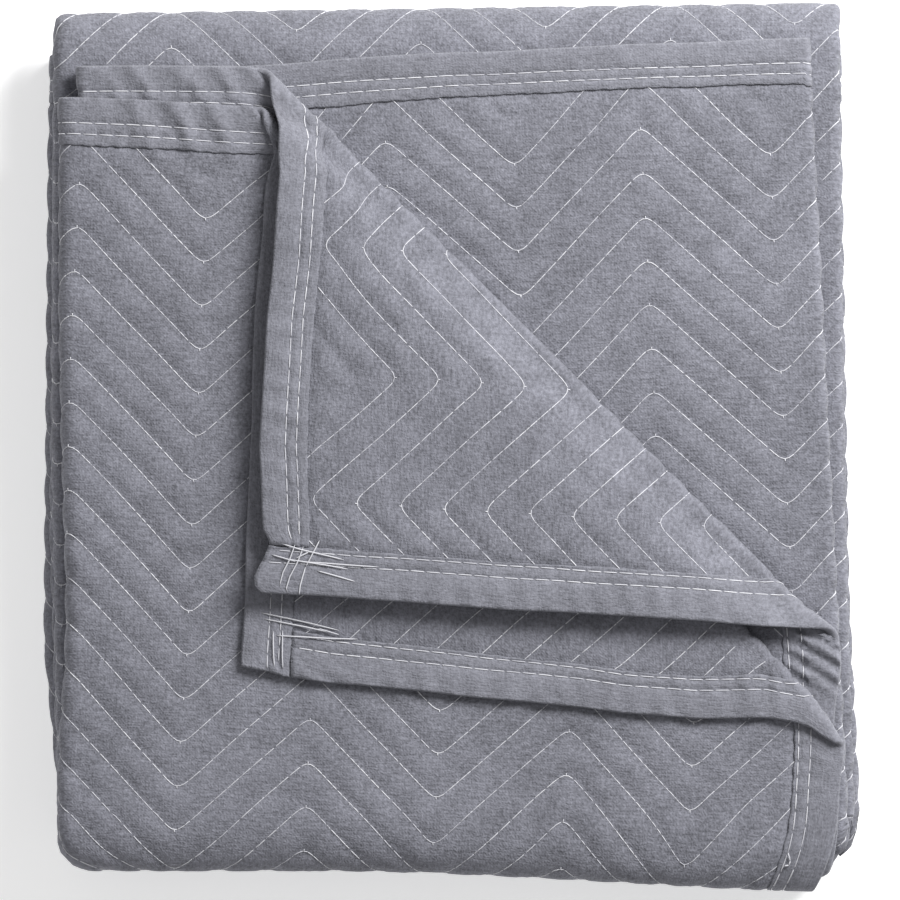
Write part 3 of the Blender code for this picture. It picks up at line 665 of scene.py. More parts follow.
# %% [markdown]
# The distance to the nearest row sets the thickness: thin on the sewing, and full on
# the rib between two rows. The thread also gathers the cloth a little along each row.
# Towards the edges the padding ends, and only a thin tongue goes on into the tape.

# %% The thickness of the quilting
FIRST_TIP = 0.0600
ROW_TUCK = 0.0060
GATHER, GATHER_STEP, GATHER_SHARE = 0.00010, 0.0061, 0.22
RIB_UNEVEN, RIB_SCALE = 0.00012, 160
LEAST_HALF = 0.0006
HIDDEN_HALF = PLAIN_HALF - 0.0002
UNDER_DIP = 0.0007
EMERGE_GAP, EMERGE_RUN = 0.0004, 0.0030


def row_drop(u):
    return np.interp(u, ROW_U, ROW_DROP)


def row_sewn(u, number):
    """Leaves out the rows that would be only short tips beside the head end tape."""
    ends, tips = [], []
    for start, end, first, width, top, zigzag, passed in QUILT_PANELS:
        ends += [start, end]
        tips += [top + zigzag + passed * QUILT_PITCH] * 2
    return np.interp(u, ends, tips) + number * QUILT_PITCH > FIRST_TIP


def rows_at(u, q):
    """Number of the quilting row at a place, with its fraction."""
    return (q - row_drop(u)) / QUILT_PITCH


def rib_share(rows):
    """0 on a row of sewing, 1 halfway to the next row."""
    return 1.0 - np.abs((rows % 1.0) - 0.5) * 2.0


def puff(u, q):
    """0 on a row of sewing, 1 on top of a rib, with a round top."""
    return 1.0 - (1.0 - rib_share(rows_at(u, q))) ** 2.0


def rib_half(u, q):
    """Half thickness of the quilted cloth."""
    rows = rows_at(u, q)
    full = STITCH_HALF + (PUFF_HALF - STITCH_HALF) * puff(u, q)
    pull = np.sin(2 * math.pi * u / GATHER_STEP + 2.0 * np.floor(rows + 0.5))
    full = full + GATHER * pull * np.exp(-(rib_share(rows) / GATHER_SHARE) ** 2)
    full = full + RIB_UNEVEN * soft_noise(u * RIB_SCALE, q * RIB_SCALE, 1.0) * puff(u, q)
    return np.clip(full, LEAST_HALF, PUFF_HALF + 0.0001)


def edge_depth(u, q):
    """Distance from the nearest cut edge."""
    return np.minimum(np.minimum(u, U_EDGE - u), np.minimum(q, Q_EDGE - q))


def cloth_half(u, q, face, fine):
    """Half thickness of the panel on one side."""
    ue, qe = eased(u, q)
    full = np.where(fine > 0, rib_half(u, q), HIDDEN_HALF)
    flat_bottom = (ue > U_FRONT_START) & (qe > Q_BEND_3)
    if face:
        rest = BINDING_HALF - UNDER_DIP * (1 - puff(u, q))
        full = np.where(flat_bottom, rest, full)
    emerge = smooth((edge_depth(u, q) - BINDING_WIDTH - EMERGE_GAP) / EMERGE_RUN)
    return TONGUE_HALF + (full - TONGUE_HALF) * emerge


print("half thickness from", STITCH_HALF, "on a row to", PUFF_HALF, "on a rib")

# %% [markdown]
# ## The panel's surface
# Points are laid along the quilting rows and between them, on both faces, and a
# triangulation joins them. Points that follow the rows give each valley a clean edge,
# which an even grid of the same size would not. What lies inside the pack gets only an
# open grid.

# %% Points of the rows and the hidden cloth
# shares of the way from one row to the next at which points are laid
RIB_SHARES = (0.0, 0.08, 0.23, 0.41, 0.59, 0.77, 0.92)
UNDER_SHARES = (0.0, 0.14, 0.38, 0.62, 0.86)
RIB_STEP, UNDER_STEP, OPEN_STEP = 0.0031, 0.0060, 0.020
ROW_MARGIN = 0.032


def row_points(step, shares, wanted, face):
    """Points that follow the quilting rows, where a level of detail is wanted."""
    u = np.arange(ROW_MARGIN, U_EDGE - ROW_MARGIN, step)
    levels = np.arange(FIRST_ROW, LAST_ROW)[:, None] + np.array(shares)[None, :]
    q = row_drop(u)[None, :] + levels.reshape(-1, 1) * QUILT_PITCH
    u = np.broadcast_to(u[None, :], q.shape)
    u, q = u.ravel(), q.ravel()
    keep = edge_depth(u, q) > ROW_MARGIN + 0.0005
    u, q = u[keep], q[keep]
    keep = shows(*eased(u, q), face) == wanted
    return np.stack([u[keep], q[keep]], axis=1)


def plain_points(step, face):
    """An open grid for what lies inside the pack."""
    u = np.arange(0.040, U_EDGE - 0.036, step)
    q = np.arange(0.040, Q_EDGE - 0.036, step)
    u, q = (a.ravel() for a in np.meshgrid(u, q))
    hidden = np.ones(len(u), bool)
    reach = 0.008
    for du, dq in ((0, 0), (reach, 0), (-reach, 0), (0, reach), (0, -reach)):
        hidden &= shows(*eased(u + du, q + dq), face) == 0
    return np.stack([u[hidden], q[hidden]], axis=1)


print("open grid of", len(plain_points(OPEN_STEP, True)), "points on the face")

# %% [markdown]
# The surface has to be free to turn at every fold, crease and cut edge. A triangle that
# reached across a fold would cut it off, so lines of points run along each of them.

# %% Lines of points along folds, creases and edges
EDGE_INSET = 0.00135


def fold_lines(face):
    """Lines along the folds, where the surface has to be free to turn."""
    lines = []
    step = 0.009 if face else 0.016
    for start, end in ((Q_FRONT, Q_BEND_1), (Q_SECOND, Q_BEND_2), (Q_THIRD, Q_BEND_3)):
        for qe in np.linspace(start, end, 11 if face else 9):
            lines.append((np.arange(0.003, U_EDGE - 0.028, step), qe))
    step = 0.006 if face else 0.014
    for start, end, count in ((U_SECOND_END, U_THIRD_START, 5), (U_THIRD_END, U_BACK_START, 6),
                              (U_BACK_END, U_FRONT_START, 10 if face else 7)):
        for ue in np.linspace(start, end, count + 1):
            lines.append((ue, np.arange(0.020, Q_EDGE - 0.003, step)))
    points = []
    for ue, qe in lines:
        ue, qe = np.broadcast_arrays(ue, qe)
        u, q = uneased(ue, qe)
        points.append(np.stack([u, q], axis=1))
    return np.concatenate(points)


def crease_lines():
    """Lines along the two creases of the turned corners."""
    points = []
    for crease in (FAR_CREASE, NEAR_CREASE):
        nx, ny = crease["normal"]
        levels = list(np.linspace(0.0, math.pi * crease["radius"], 8))
        if crease is FAR_CREASE:
            levels += list(math.pi * crease["radius"] + np.linspace(*FLAP_RISE, 7))
        for level in levels:
            qe = np.arange(0.002, Q_FRONT, 0.0026)
            x = (crease["at"] + level - ny * (HEAD_Y - qe)) / nx
            if crease is FAR_CREASE:
                ue = FAR_EDGE_X + column(SHIFTS, 1, qe) - x
                keep = (ue > 0) & (ue < U_SECOND_END - 0.01)
            else:
                ue = x - LEFT_X - column(SHIFTS, 2, qe) + U_FRONT_START
                keep = (ue > U_FRONT_START + 0.01)
            u, q = uneased(ue[keep], qe[keep])
            points.append(np.stack([u, q], axis=1))
    return np.concatenate(points)


def edge_lines(face):
    """Closed lines round the cloth: its cut edge, and where it leaves the tapes."""
    points = []
    close = 0.005 if face else 0.008
    for inset, step in ((EDGE_INSET, 0.009), (0.0150, 0.016), (BINDING_WIDTH + 0.0004, close),
                        (BINDING_WIDTH + 0.0019, close), (BINDING_WIDTH + 0.0034, close)):
        wide, long = U_EDGE - 2 * inset, Q_EDGE - 2 * inset
        across = inset + wide * np.linspace(0, 1, int(wide / step) + 1)
        along = inset + long * np.linspace(0, 1, int(long / step) + 1)[1:-1]
        for q in (inset, Q_EDGE - inset):
            points.append(np.stack([across, np.full_like(across, q)], axis=1))
        for u in (inset, U_EDGE - inset):
            points.append(np.stack([np.full_like(along, u), along], axis=1))
    return np.concatenate(points)


print("lines of", len(fold_lines(True)), "points on the folds")

# %% [markdown]
# Under the tapes the cloth is thin and plain, but it still has to follow the wrinkles
# of its hem, or it would stick out of the tape. So the hems of the top layers get a
# grid of their own. Then all points are put together, those that lie too close are
# dropped, and each side of the cloth is joined to a net of triangles.

# %% Hems, and the net of triangles
# from u, to u, from q, to q, spacing
HEM_GRIDS = (
    (U_FRONT_START + 0.015, U_FRONT_START + 0.160, 0.0, BINDING_WIDTH, 0.0036),
    (0.300, 0.408, 0.0, BINDING_WIDTH, 0.0036),
    (0.0, 0.300, 0.0, BINDING_WIDTH, 0.0070),
    (U_FRONT_START + 0.160, U_EDGE, 0.0, BINDING_WIDTH, 0.0070),
    (0.0, BINDING_WIDTH, 0.0, Q_FRONT, 0.0070),
    (U_EDGE - BINDING_WIDTH, U_EDGE, 0.0, Q_FRONT, 0.0070),
)


def hem_points():
    """Open grids of points under the hems of the top layers."""
    points = []
    for u0, u1, q0, q1, gap in HEM_GRIDS:
        u = np.arange(u0 + 0.5 * gap, u1, gap)
        q = np.arange(q0 + 0.5 * gap, q1, gap)
        u, q = (a.ravel() for a in np.meshgrid(u, q))
        inside = edge_depth(u, q) > 0.0024
        points.append(np.stack([u[inside], q[inside]], axis=1))
    return np.concatenate(points)


THIN_GAP = 0.0011


def thinned(points, gap):
    """Drops points that share a small cell with an earlier one."""
    cells = np.floor(points / gap).astype(np.int64)
    _, first = np.unique(cells, axis=0, return_index=True)
    return points[np.sort(first)]


def side_surface(face):
    """Triangulated flat points of one side of the panel."""
    parts = [edge_lines(face), crease_lines(), row_points(RIB_STEP, RIB_SHARES, 2, face)]
    parts += [hem_points(), fold_lines(face)]
    if face:
        parts.append(row_points(UNDER_STEP, UNDER_SHARES, 1, face))
    parts.append(plain_points(OPEN_STEP, face))
    print("points", [len(part) for part in parts])
    points = thinned(np.concatenate(parts), THIN_GAP)
    inside = edge_depth(points[:, 0], points[:, 1]) >= EDGE_INSET - 1e-7
    points = points[inside]
    result = delaunay_2d_cdt([Vector(p) for p in points.tolist()], [], [], 0, 1e-6, False)
    flat = np.array([v[:] for v in result[0]])
    return flat, np.array(result[2], dtype=np.int64)


face_flat, face_tris = side_surface(True)
back_flat, back_tris = side_surface(False)
print("triangles on the face", len(face_tris), "and on the back", len(back_tris))

# %% [markdown]
# ## Folding the panel
# The flat points get half a thickness outwards on each side and are folded. A strip
# of faces joins the two rims, so the panel is one closed padded sheet, as the real one
# is. Every piece keeps its flat coordinates as a UV map, for the weave.

# %% From points to a piece
UV_SHARE = 0.5


def add_mesh(name, points, faces, flat, cloth):
    """A piece at the origin, smooth, with its flat coordinates as its UV map."""
    mesh = bpy.data.meshes.new(name)
    mesh.from_pydata(np.asarray(points).tolist(), [], faces)
    mesh.polygons.foreach_set("use_smooth", np.ones(len(mesh.polygons), bool))
    loops = np.zeros(len(mesh.loops), np.int64)
    mesh.loops.foreach_get("vertex_index", loops)
    layer = mesh.uv_layers.new(name="flat_cloth")
    layer.data.foreach_set("uv", (np.asarray(flat)[loops] * UV_SHARE).ravel())
    mesh.materials.append(cloth)
    mesh.update()
    piece = bpy.data.objects.new(name, mesh)
    bpy.context.scene.collection.objects.link(piece)
    return piece


cloth_stuff = bpy.data.materials.new("quilted_cloth_finish")
tape_stuff = bpy.data.materials.new("tape_finish")
thread_stuff = bpy.data.materials.new("thread_finish")
print("finishes", [stuff.name for stuff in (cloth_stuff, tape_stuff, thread_stuff)])

# %% The panel as a mesh
def rim_order(flat):
    """Indices of the rim's points, in order round the cloth."""
    u, q = flat[:, 0], flat[:, 1]
    wide, long = U_EDGE - EDGE_INSET, Q_EDGE - EDGE_INSET
    sides = [np.abs(q - EDGE_INSET) < 1e-6, np.abs(u - wide) < 1e-6,
             np.abs(q - long) < 1e-6, np.abs(u - EDGE_INSET) < 1e-6]
    way = [u, q, -u, -q]
    order = []
    for on_side, along in zip(sides, way):
        found = np.nonzero(on_side)[0]
        order += list(found[np.argsort(along[found])])[:-1]
    return order


def panel_points(flat, face):
    fine = shows(*eased(flat[:, 0], flat[:, 1]), face)
    half = cloth_half(flat[:, 0], flat[:, 1], face, fine)
    return place(flat[:, 0], flat[:, 1], half if face else -half)


panel_faces = [(a, c, b) for a, b, c in face_tris.tolist()]
panel_faces += [(a, b, c) for a, b, c in (back_tris + len(face_flat)).tolist()]
face_rim, back_rim = rim_order(face_flat), rim_order(back_flat)
for i in range(len(face_rim)):
    a, b = face_rim[i - 1], face_rim[i]
    c, d = back_rim[i] + len(face_flat), back_rim[i - 1] + len(face_flat)
    panel_faces.append((int(a), int(b), int(c), int(d)))
panel = add_mesh(
    "quilted_panel",
    np.concatenate([panel_points(face_flat, True), panel_points(back_flat, False)]),
    panel_faces, np.concatenate([face_flat, back_flat]), cloth_stuff)
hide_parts("blanket")
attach(panel, "root")
print("rim", len(face_rim), len(back_rim), "panel faces", len(panel_faces))

# %% [markdown]
# ## The tapes round the edges
# A strip of the same cloth is folded round each edge and sewn down with two rows. The
# sewing pulls it in and makes it pucker. Each tape is its cross-section, moved along
# the edge in small steps and folded with the rest.

# %% The tape's height
SEW_STEP = 0.0092
END_ROWS = (0.0150, 0.0215)
SIDE_ROWS = (0.0185, 0.0255)
TAPE_ARCH = 0.00045
SEW_DIP, SEW_DIP_WIDTH = 0.00080, 0.0014
PUCKER, PUCKER_RUN = 0.00034, 0.0045
PUCKER_DRIFT = 2.1
TAPE_UNEVEN = 0.00030
TUCK, TUCK_RUN = 0.0004, 0.0012


def tape_height(s, depth, rows, seed):
    """Outer half thickness of a tape, with its sewing and puckers."""
    arch = np.sin(math.pi * np.clip(depth / rows[0], 0.0, 1.0))
    height = BINDING_HALF + TAPE_ARCH * arch
    for row in rows:
        near = np.exp(-((depth - row) / SEW_DIP_WIDTH) ** 2)
        hold = 0.75 + 0.25 * np.cos(2 * math.pi * s / SEW_STEP)
        height = height - SEW_DIP * near * hold
        spread = np.exp(-np.abs(depth - row) / PUCKER_RUN) - near
        drift = PUCKER_DRIFT * soft_noise(s * 40, row * 90, seed)
        wave = np.sin(2 * math.pi * s / SEW_STEP + drift)
        height = height + PUCKER * spread * wave
    height = height + TAPE_UNEVEN * soft_noise(s * 190, depth * 210, seed)
    tuck = smooth((depth - BINDING_WIDTH + TUCK_RUN) / TUCK_RUN)
    return height - TUCK * tuck


print("a tape's hem lies %.5f m from its middle" % (BINDING_HALF - TUCK))

# %% [markdown]
# The cross-section goes round the cut edge, over both faces, and back inside at the
# thickness of the strip. Its free hem waves a little between the stitches.

# %% The tape's cross-section, moved along an edge
TAPE_WALL = 0.0006
TAPE_ROUND = 0.0012
SCALLOP, HEM_WANDER = 0.00025, 0.0009


def tape_depths(rows):
    """Depths of the cross-section's points, closer together at the sewing."""
    depths = {BINDING_WIDTH, BINDING_WIDTH - 0.0008, 0.0025, 0.0048, 0.0075, 0.0105, TAPE_ROUND}
    for row in rows:
        for off in (-0.0028, -0.0013, -0.0006, 0.0, 0.0006, 0.0013, 0.0025):
            if row + off < BINDING_WIDTH - 0.0010:
                depths.add(round(row + off, 5))
    return sorted(depths, reverse=True)


def tape_mesh(steps, flat_of, rows, seed):
    """Sweeps the tape's cross-section along an edge."""
    depths = np.array(tape_depths(rows))
    arc = np.radians(np.array([-58.0, -28.0, 0.0, 28.0, 58.0]))
    inner = np.linspace(BINDING_WIDTH, 0.0014, 7)
    section_depth = np.concatenate([
        depths, TAPE_ROUND * (1 - np.cos(arc)), depths[::-1], inner, inner[::-1]])
    s = np.asarray(steps)[:, None]
    outer = tape_height(s, depths[None, :], rows, seed)
    lower = tape_height(s, depths[None, :], rows, seed + 3.0)
    at_round = tape_height(s, np.full((1, len(arc)), TAPE_ROUND), rows, seed)
    inside = np.broadcast_to(BINDING_HALF - TAPE_WALL - 0.0003, (len(s), len(inner)))
    height = np.concatenate([
        -lower, at_round * np.sin(arc)[None, :], outer[:, ::-1], inside, -inside], axis=1)
    count = len(section_depth)
    s = np.broadcast_to(s, (len(s), count))
    depth = np.broadcast_to(section_depth[None, :], s.shape)
    free = smooth((depth - rows[1] - 0.001) / (BINDING_WIDTH - rows[1] - 0.001))
    scallop = np.sin(2 * math.pi * s / SEW_STEP + 3.0 * soft_noise(s * 35, 0.0, seed))
    loose = depth + free * (SCALLOP * scallop + HEM_WANDER * soft_noise(s * 60, 0.0, seed + 1.0))
    u, q = flat_of(s, loose)
    points = place(u, q, height).reshape(-1, 3)
    faces = []
    for i in range(len(s) - 1):
        row = i * count
        for j in range(count):
            k = (j + 1) % count
            faces.append((row + j, row + k, row + count + k, row + count + j))
    faces.append(tuple(reversed(range(count))))
    last = (len(s) - 1) * count
    faces.append(tuple(range(last, last + count)))
    flat = np.stack([s.ravel(), depth.ravel()], axis=1)
    return points, faces, flat


print("a tape's cross-section has", len(tape_depths(END_ROWS)), "points on each face")

# %% [markdown]
# A tape needs short steps where its edge goes round a fold or through wrinkles, and
# wide ones will do where it lies straight inside the pack.

# %% Steps along an edge
def stations(start, end, zones, wide):
    """Steps along an edge: fine inside the named zones, wide elsewhere."""
    places = [start]
    while places[-1] < end - 1e-6:
        here = places[-1]
        step = wide
        for low, high, fine in zones:
            if low - wide <= here <= high:
                step = min(step, fine)
        places.append(min(here + step, end))
    if places[-1] - places[-2] < 0.0004:
        places.pop(-2)
    return places


print("steps past one fold", [round(s, 4) for s in stations(0, 0.02, ((0.008, 0.010, 0.001),), 0.004)])

# %% [markdown]
# The four tapes differ only in their edge, so a table names them and one loop makes
# them. The far side tape runs the whole length. The tapes of the ends start beside it,
# and the near side tape lies between those two, so no tape runs into another.

# %% The four tapes
BESIDE = BINDING_WIDTH + 0.0004
FOLD_ZONES = ((U_SECOND_END, U_THIRD_START, 0.0016), (U_THIRD_END, U_BACK_START, 0.0016),
              (U_BACK_END, U_FRONT_START, 0.0022))
HEAD_ZONES = FOLD_ZONES + (
    (0.0, U_SECOND_END, 0.0028), (U_THIRD_START, U_THIRD_END, 0.0028),
    (U_FRONT_START, U_EDGE, 0.0028), (0.28, 0.40, 0.0014), (1.315, 1.52, 0.0014))
SIDE_ZONES = ((0.0, Q_FRONT, 0.0028), (Q_FRONT, Q_BEND_1, 0.0030), (Q_SECOND, Q_BEND_2, 0.0040),
              (Q_THIRD, Q_BEND_3, 0.0030), (0.27, 0.42, 0.0014))
# node, name, start, end, zones, wide step, flat place, sewing rows, seed
TAPES = (
    ("head_end_binding", "head_end_tape", BESIDE, U_EDGE, HEAD_ZONES, 0.006,
     lambda s, d: (s, d), END_ROWS, 0.4),
    ("foot_end_binding", "foot_end_tape", BESIDE, U_EDGE, FOLD_ZONES, 0.005,
     lambda s, d: (s, Q_EDGE - d), END_ROWS, 1.3),
    ("near_side_binding", "near_side_tape", BESIDE, Q_EDGE - BESIDE, SIDE_ZONES, 0.006,
     lambda s, d: (U_EDGE - d, s), SIDE_ROWS, 2.2),
    ("far_side_binding", "far_side_tape", 0.0, Q_EDGE, SIDE_ZONES, 0.006,
     lambda s, d: (d, s), SIDE_ROWS, 3.1),
)
for node, name, start, end, zones, wide, flat_of, rows, seed in TAPES:
    places = stations(start, end, zones, wide)
    points, faces, flat = tape_mesh(places, flat_of, rows, seed)
    tape = add_mesh(name, points, faces, flat, tape_stuff)
    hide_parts(node)
    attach(tape, "root")
    print(name, len(places), "stations,", 2 * len(faces), "triangles")

# %% [markdown]
# ## The sewing
# Light thread lies on the cloth in stitches of about 9 mm, and dives through it at
# both ends. Every stitch is a small spindle of a few faces, laid along its row and
# folded with the cloth, and they are joined into one piece for each kind of row.

# %% One stitch
# share of the length, thickness, lift
TAPE_SPINDLE = (
    (0.0, 0.25, -0.00022), (0.10, 0.85, 0.00004), (0.35, 1.0, 0.00016),
    (0.65, 1.0, 0.00016), (0.90, 0.85, 0.00004), (1.0, 0.25, -0.00022))
THREAD_SIDES = 4


def spindles(path, height, side, radius, spindle=TAPE_SPINDLE):
    """Joined mesh of stitches; path gives their flat places at a share of their length."""
    rings = []
    for along, wide, lift in spindle:
        u, q = path(along)
        h = height(u, q)
        centre = place(u, q, side * (h + lift))
        out = place(u, q, side * (h + lift + 0.0004)) - centre
        rings.append((centre, out, wide))
    points = []
    for i, (centre, out, wide) in enumerate(rings):
        before = rings[max(i - 1, 0)][0]
        after = rings[min(i + 1, len(rings) - 1)][0]
        along = after - before
        along /= np.linalg.norm(along, axis=1)[:, None] + 1e-12
        out = out - along * (out * along).sum(1)[:, None]
        out /= np.linalg.norm(out, axis=1)[:, None] + 1e-12
        across = np.cross(along, out)
        for k in range(THREAD_SIDES):
            angle = 2 * math.pi * k / THREAD_SIDES
            offset = across * math.cos(angle) + out * math.sin(angle)
            points.append(centre + offset * radius * wide)
    count = len(rings) * THREAD_SIDES
    points = np.stack(points, axis=1).reshape(-1, 3)
    pattern = []
    for i in range(len(rings) - 1):
        for k in range(THREAD_SIDES):
            n = (k + 1) % THREAD_SIDES
            a, b = i * THREAD_SIDES + k, i * THREAD_SIDES + n
            pattern.append((a, b, b + THREAD_SIDES, a + THREAD_SIDES))
    pattern = np.array(pattern)
    u0, q0 = path(0.5)
    faces = (np.arange(len(u0))[:, None, None] * count + pattern[None]).reshape(-1, 4)
    caps = []
    for ring, flip in ((0, True), (len(rings) - 1, False)):
        loop = [ring * THREAD_SIDES + k for k in range(THREAD_SIDES)]
        caps.append(loop[::-1] if flip else loop)
    caps = (np.arange(len(u0))[:, None, None] * count + np.array(caps)[None])
    caps = caps.reshape(-1, THREAD_SIDES)
    flat = np.repeat(np.stack([u0, q0], axis=1), count, axis=0)
    return points, faces.tolist() + caps.tolist(), flat


def join(parts):
    """Puts the points and faces of several meshes together."""
    points, faces, flat, base = [], [], [], 0
    for p, f, uv in parts:
        points.append(p)
        faces += [[i + base for i in face] for face in f]
        flat.append(uv)
        base += len(p)
    return np.concatenate(points), faces, np.concatenate(flat)


print("a stitch has", (len(TAPE_SPINDLE) - 1) * THREAD_SIDES + 2, "faces")

# %% [markdown]
# The quilting is sewn row by row. Each row is followed by its length along the zigzag,
# so the stitches stay even round the apexes. They start at another place in each row,
# or they would line up across the cloth.

# %% Places along a row
ROW_SHIFT = 0.37


def surface_side(u, q):
    """+1 where the face shows, -1 where the back shows, 0 where neither does."""
    ue, qe = eased(u, q)
    return np.where(shows(ue, qe, True) > 0, 1, np.where(shows(ue, qe, False) > 0, -1, 0))


ROW_SLOPE = np.gradient(ROW_DROP, ROW_U)
ROW_LENGTH = np.concatenate([[0.0], np.cumsum(np.hypot(1.0, ROW_SLOPE[1:]) * np.diff(ROW_U))])


def row_steps():
    """Arc lengths at which the stitches of every row start, and the row's number."""
    starts, numbers = [], []
    for n in range(FIRST_ROW, LAST_ROW):
        shift = (n * ROW_SHIFT % 1.0) * SEW_STEP
        at = np.arange(shift, ROW_LENGTH[-1] - SEW_STEP, SEW_STEP)
        starts.append(at)
        numbers.append(np.full(len(at), float(n)))
    return np.concatenate(starts), np.concatenate(numbers)


def on_row(at, number):
    """Flat place at an arc length of a row."""
    u = np.interp(at, ROW_LENGTH, ROW_U)
    return u, row_drop(u) + number * QUILT_PITCH


starts, numbers = row_steps()
print("places for stitches", len(starts))

# %% [markdown]
# Only the stitches that show are made. One short stitch stands at each apex, where the
# needle turned. Rows that would be no more than short tips are left out.

# %% Quilting stitches
QUILT_LENGTH = 0.0091
QUILT_RADIUS = 0.00034
TICK_LENGTH = 0.0018
TICK_START = 0.0003
TICK_LEAN = 0.0002
THREAD_LIFT = 0.00010
QUILT_SPINDLE = (
    (0.0, 0.60, -0.00012), (0.07, 0.90, 0.00004), (0.35, 1.0, 0.00010),
    (0.65, 1.0, 0.00010), (0.93, 0.90, 0.00004), (1.0, 0.60, -0.00012))
turns = np.nonzero(np.diff(np.sign(ROW_SLOPE[1:-1])))[0] + 1
tick_number, tick_turn = np.meshgrid(np.arange(float(FIRST_ROW), float(LAST_ROW)), turns)
tick_number, tick_turn = tick_number.ravel(), tick_turn.ravel()
tick_u = ROW_U[tick_turn]
tick_q = ROW_DROP[tick_turn] + tick_number * QUILT_PITCH
tick_way = np.where(ROW_SLOPE[tick_turn - 4] > 0, 1.0, -1.0)
parts = []
for side in (1, -1):
    middle = on_row(starts + 0.5 * QUILT_LENGTH, numbers)
    ends = [on_row(starts + share * QUILT_LENGTH, numbers) for share in (0.0, 1.0)]
    tucked = BINDING_WIDTH - ROW_TUCK
    clear = (edge_depth(*ends[0]) > tucked) & (edge_depth(*ends[1]) > tucked)
    clear = clear & row_sewn(middle[0], numbers)
    pick = (surface_side(*middle) == side) & clear

    def height(u, q, face=side > 0):
        return cloth_half(u, q, face, np.ones_like(u)) + THREAD_LIFT

    def stitch_path(share, at=starts[pick], number=numbers[pick]):
        return on_row(at + share * QUILT_LENGTH, number)
    parts.append(spindles(stitch_path, height, side, QUILT_RADIUS, QUILT_SPINDLE))
    print("quilting stitches on side", side, int(pick.sum()))
    pick = (surface_side(tick_u, tick_q) == side) & row_sewn(tick_u, tick_number)
    pick = pick & (edge_depth(tick_u, tick_q) > BINDING_WIDTH + 0.003)

    def tick_path(share, u=tick_u[pick], q=tick_q[pick], way=tick_way[pick]):
        return u + TICK_LEAN * share, q + way * (TICK_LENGTH * share - TICK_START)
    parts.append(spindles(tick_path, height, side, QUILT_RADIUS))
quilt_thread = add_mesh("quilting_thread", *join(parts), thread_stuff)
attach(quilt_thread, "root")
print("quilting thread faces", len(quilt_thread.data.polygons))

# %% [markdown]
# Each tape is sewn with two rows that run its whole length. They are shown on the side
# of the tape that faces out.

# %% Stitches on the tapes
STITCH_LENGTH = 0.0084
TAPE_RADIUS = 0.00038
TAPE_THREAD_LIFT = 0.00018


def tape_side(u, q, name):
    """+1 where the face of a tape shows, -1 its back, 0 neither."""
    ue, qe = eased(u, q)
    near, x = crease_distance(NEAR_CREASE, ue, qe)
    far, _ = crease_distance(FAR_CREASE, ue, qe)
    top = qe <= Q_BEND_1 + 0.010
    if name == "foot_end_tape":
        return np.where(ue >= U_BACK_END, 1, 0)
    front = (ue >= U_BACK_END) & top
    third = (ue > U_SECOND_END) & (ue <= U_BACK_START) & top
    second = (ue <= U_SECOND_END) & top
    side = np.where(front, np.where(near > 0, -1, 1), 0)
    side = np.where(third, 1, side)
    side = np.where(second, np.where(far > 0, 1, -1), side)
    bends = (qe > Q_BEND_3 - BEND_LENGTH - 0.02) & (ue > U_FRONT_START)
    return np.where(bends, 1, side)


for node, name, start, end, zones, wide, flat_of, tape_rows, seed in TAPES:
    parts = []
    for number, row in enumerate(tape_rows):
        at = np.arange(start + 0.004 + 0.003 * number, end - SEW_STEP, SEW_STEP)
        depth = np.full_like(at, row)
        sides = tape_side(*flat_of(at + 0.5 * STITCH_LENGTH, depth), name)
        for side in (1, -1):
            pick = sides == side
            if not pick.any():
                continue

            def height(u, q, side=side, row=row, name=name, seed=seed, tape_rows=tape_rows):
                s = u if "end" in name else q
                drift = seed if side > 0 else seed + 3.0
                rise = tape_height(s, np.full_like(s, row), tape_rows, drift)
                return rise + TAPE_THREAD_LIFT

            def path(share, at=at[pick], depth=depth[pick], flat_of=flat_of):
                return flat_of(at + share * STITCH_LENGTH, depth)
            parts.append(spindles(path, height, side, TAPE_RADIUS))
    thread = add_mesh(name.replace("tape", "thread"), *join(parts), thread_stuff)
    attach(thread, "root")
    print(thread.name, len(thread.data.polygons))

# %% [markdown]
# The ends of the tapes are held at the two corners by a few long stitches crossed over
# each other, and one loose end of thread stands out of the right hem. They are given
# by where they lie on the pack, and the nearest flat place is looked up.

# %% Corner stitches
# from x, y to x, y on the pack
FAR_TACKS = (
    (-0.0980, -0.0557, -0.0621, -0.0644), (-0.1038, -0.0615, -0.0893, -0.0655),
    (-0.0893, -0.0655, -0.0423, -0.0690), (-0.0853, -0.0568, -0.0945, -0.0835),
    (-0.0760, -0.0534, -0.0841, -0.0690), (-0.0841, -0.0690, -0.0876, -0.0853),
    (-0.0777, -0.0708, -0.0557, -0.0771), (-0.0960, -0.0640, -0.0600, -0.0700),
    (-0.0905, -0.0560, -0.0990, -0.0800), (-0.0820, -0.0600, -0.0900, -0.0640),
)
NEAR_TACKS = (
    (-0.1102, -0.0957, -0.0650, -0.1056), (-0.1021, -0.1085, -0.0545, -0.1108),
    (-0.0771, -0.1044, -0.0650, -0.1085), (-0.1090, -0.0990, -0.0700, -0.1070),
    (-0.1030, -0.1060, -0.1026, -0.1270), (-0.0975, -0.1060, -0.0975, -0.1280),
)
LOOSE_END = (
    (0.1955, -0.2349, 0.1966, -0.2400), (0.1966, -0.2400, 0.1962, -0.2421),
    (0.1962, -0.2421, 0.1937, -0.2424),
)
TACK_RADIUS = 0.00045
TACK_LIFT, LOOSE_LIFT = 0.0006, 0.0010
CORNER_PATCH = 0.110
LOOSE_PATCH = (0.080, 0.380, 0.430)
FIND_STEP = 0.0006


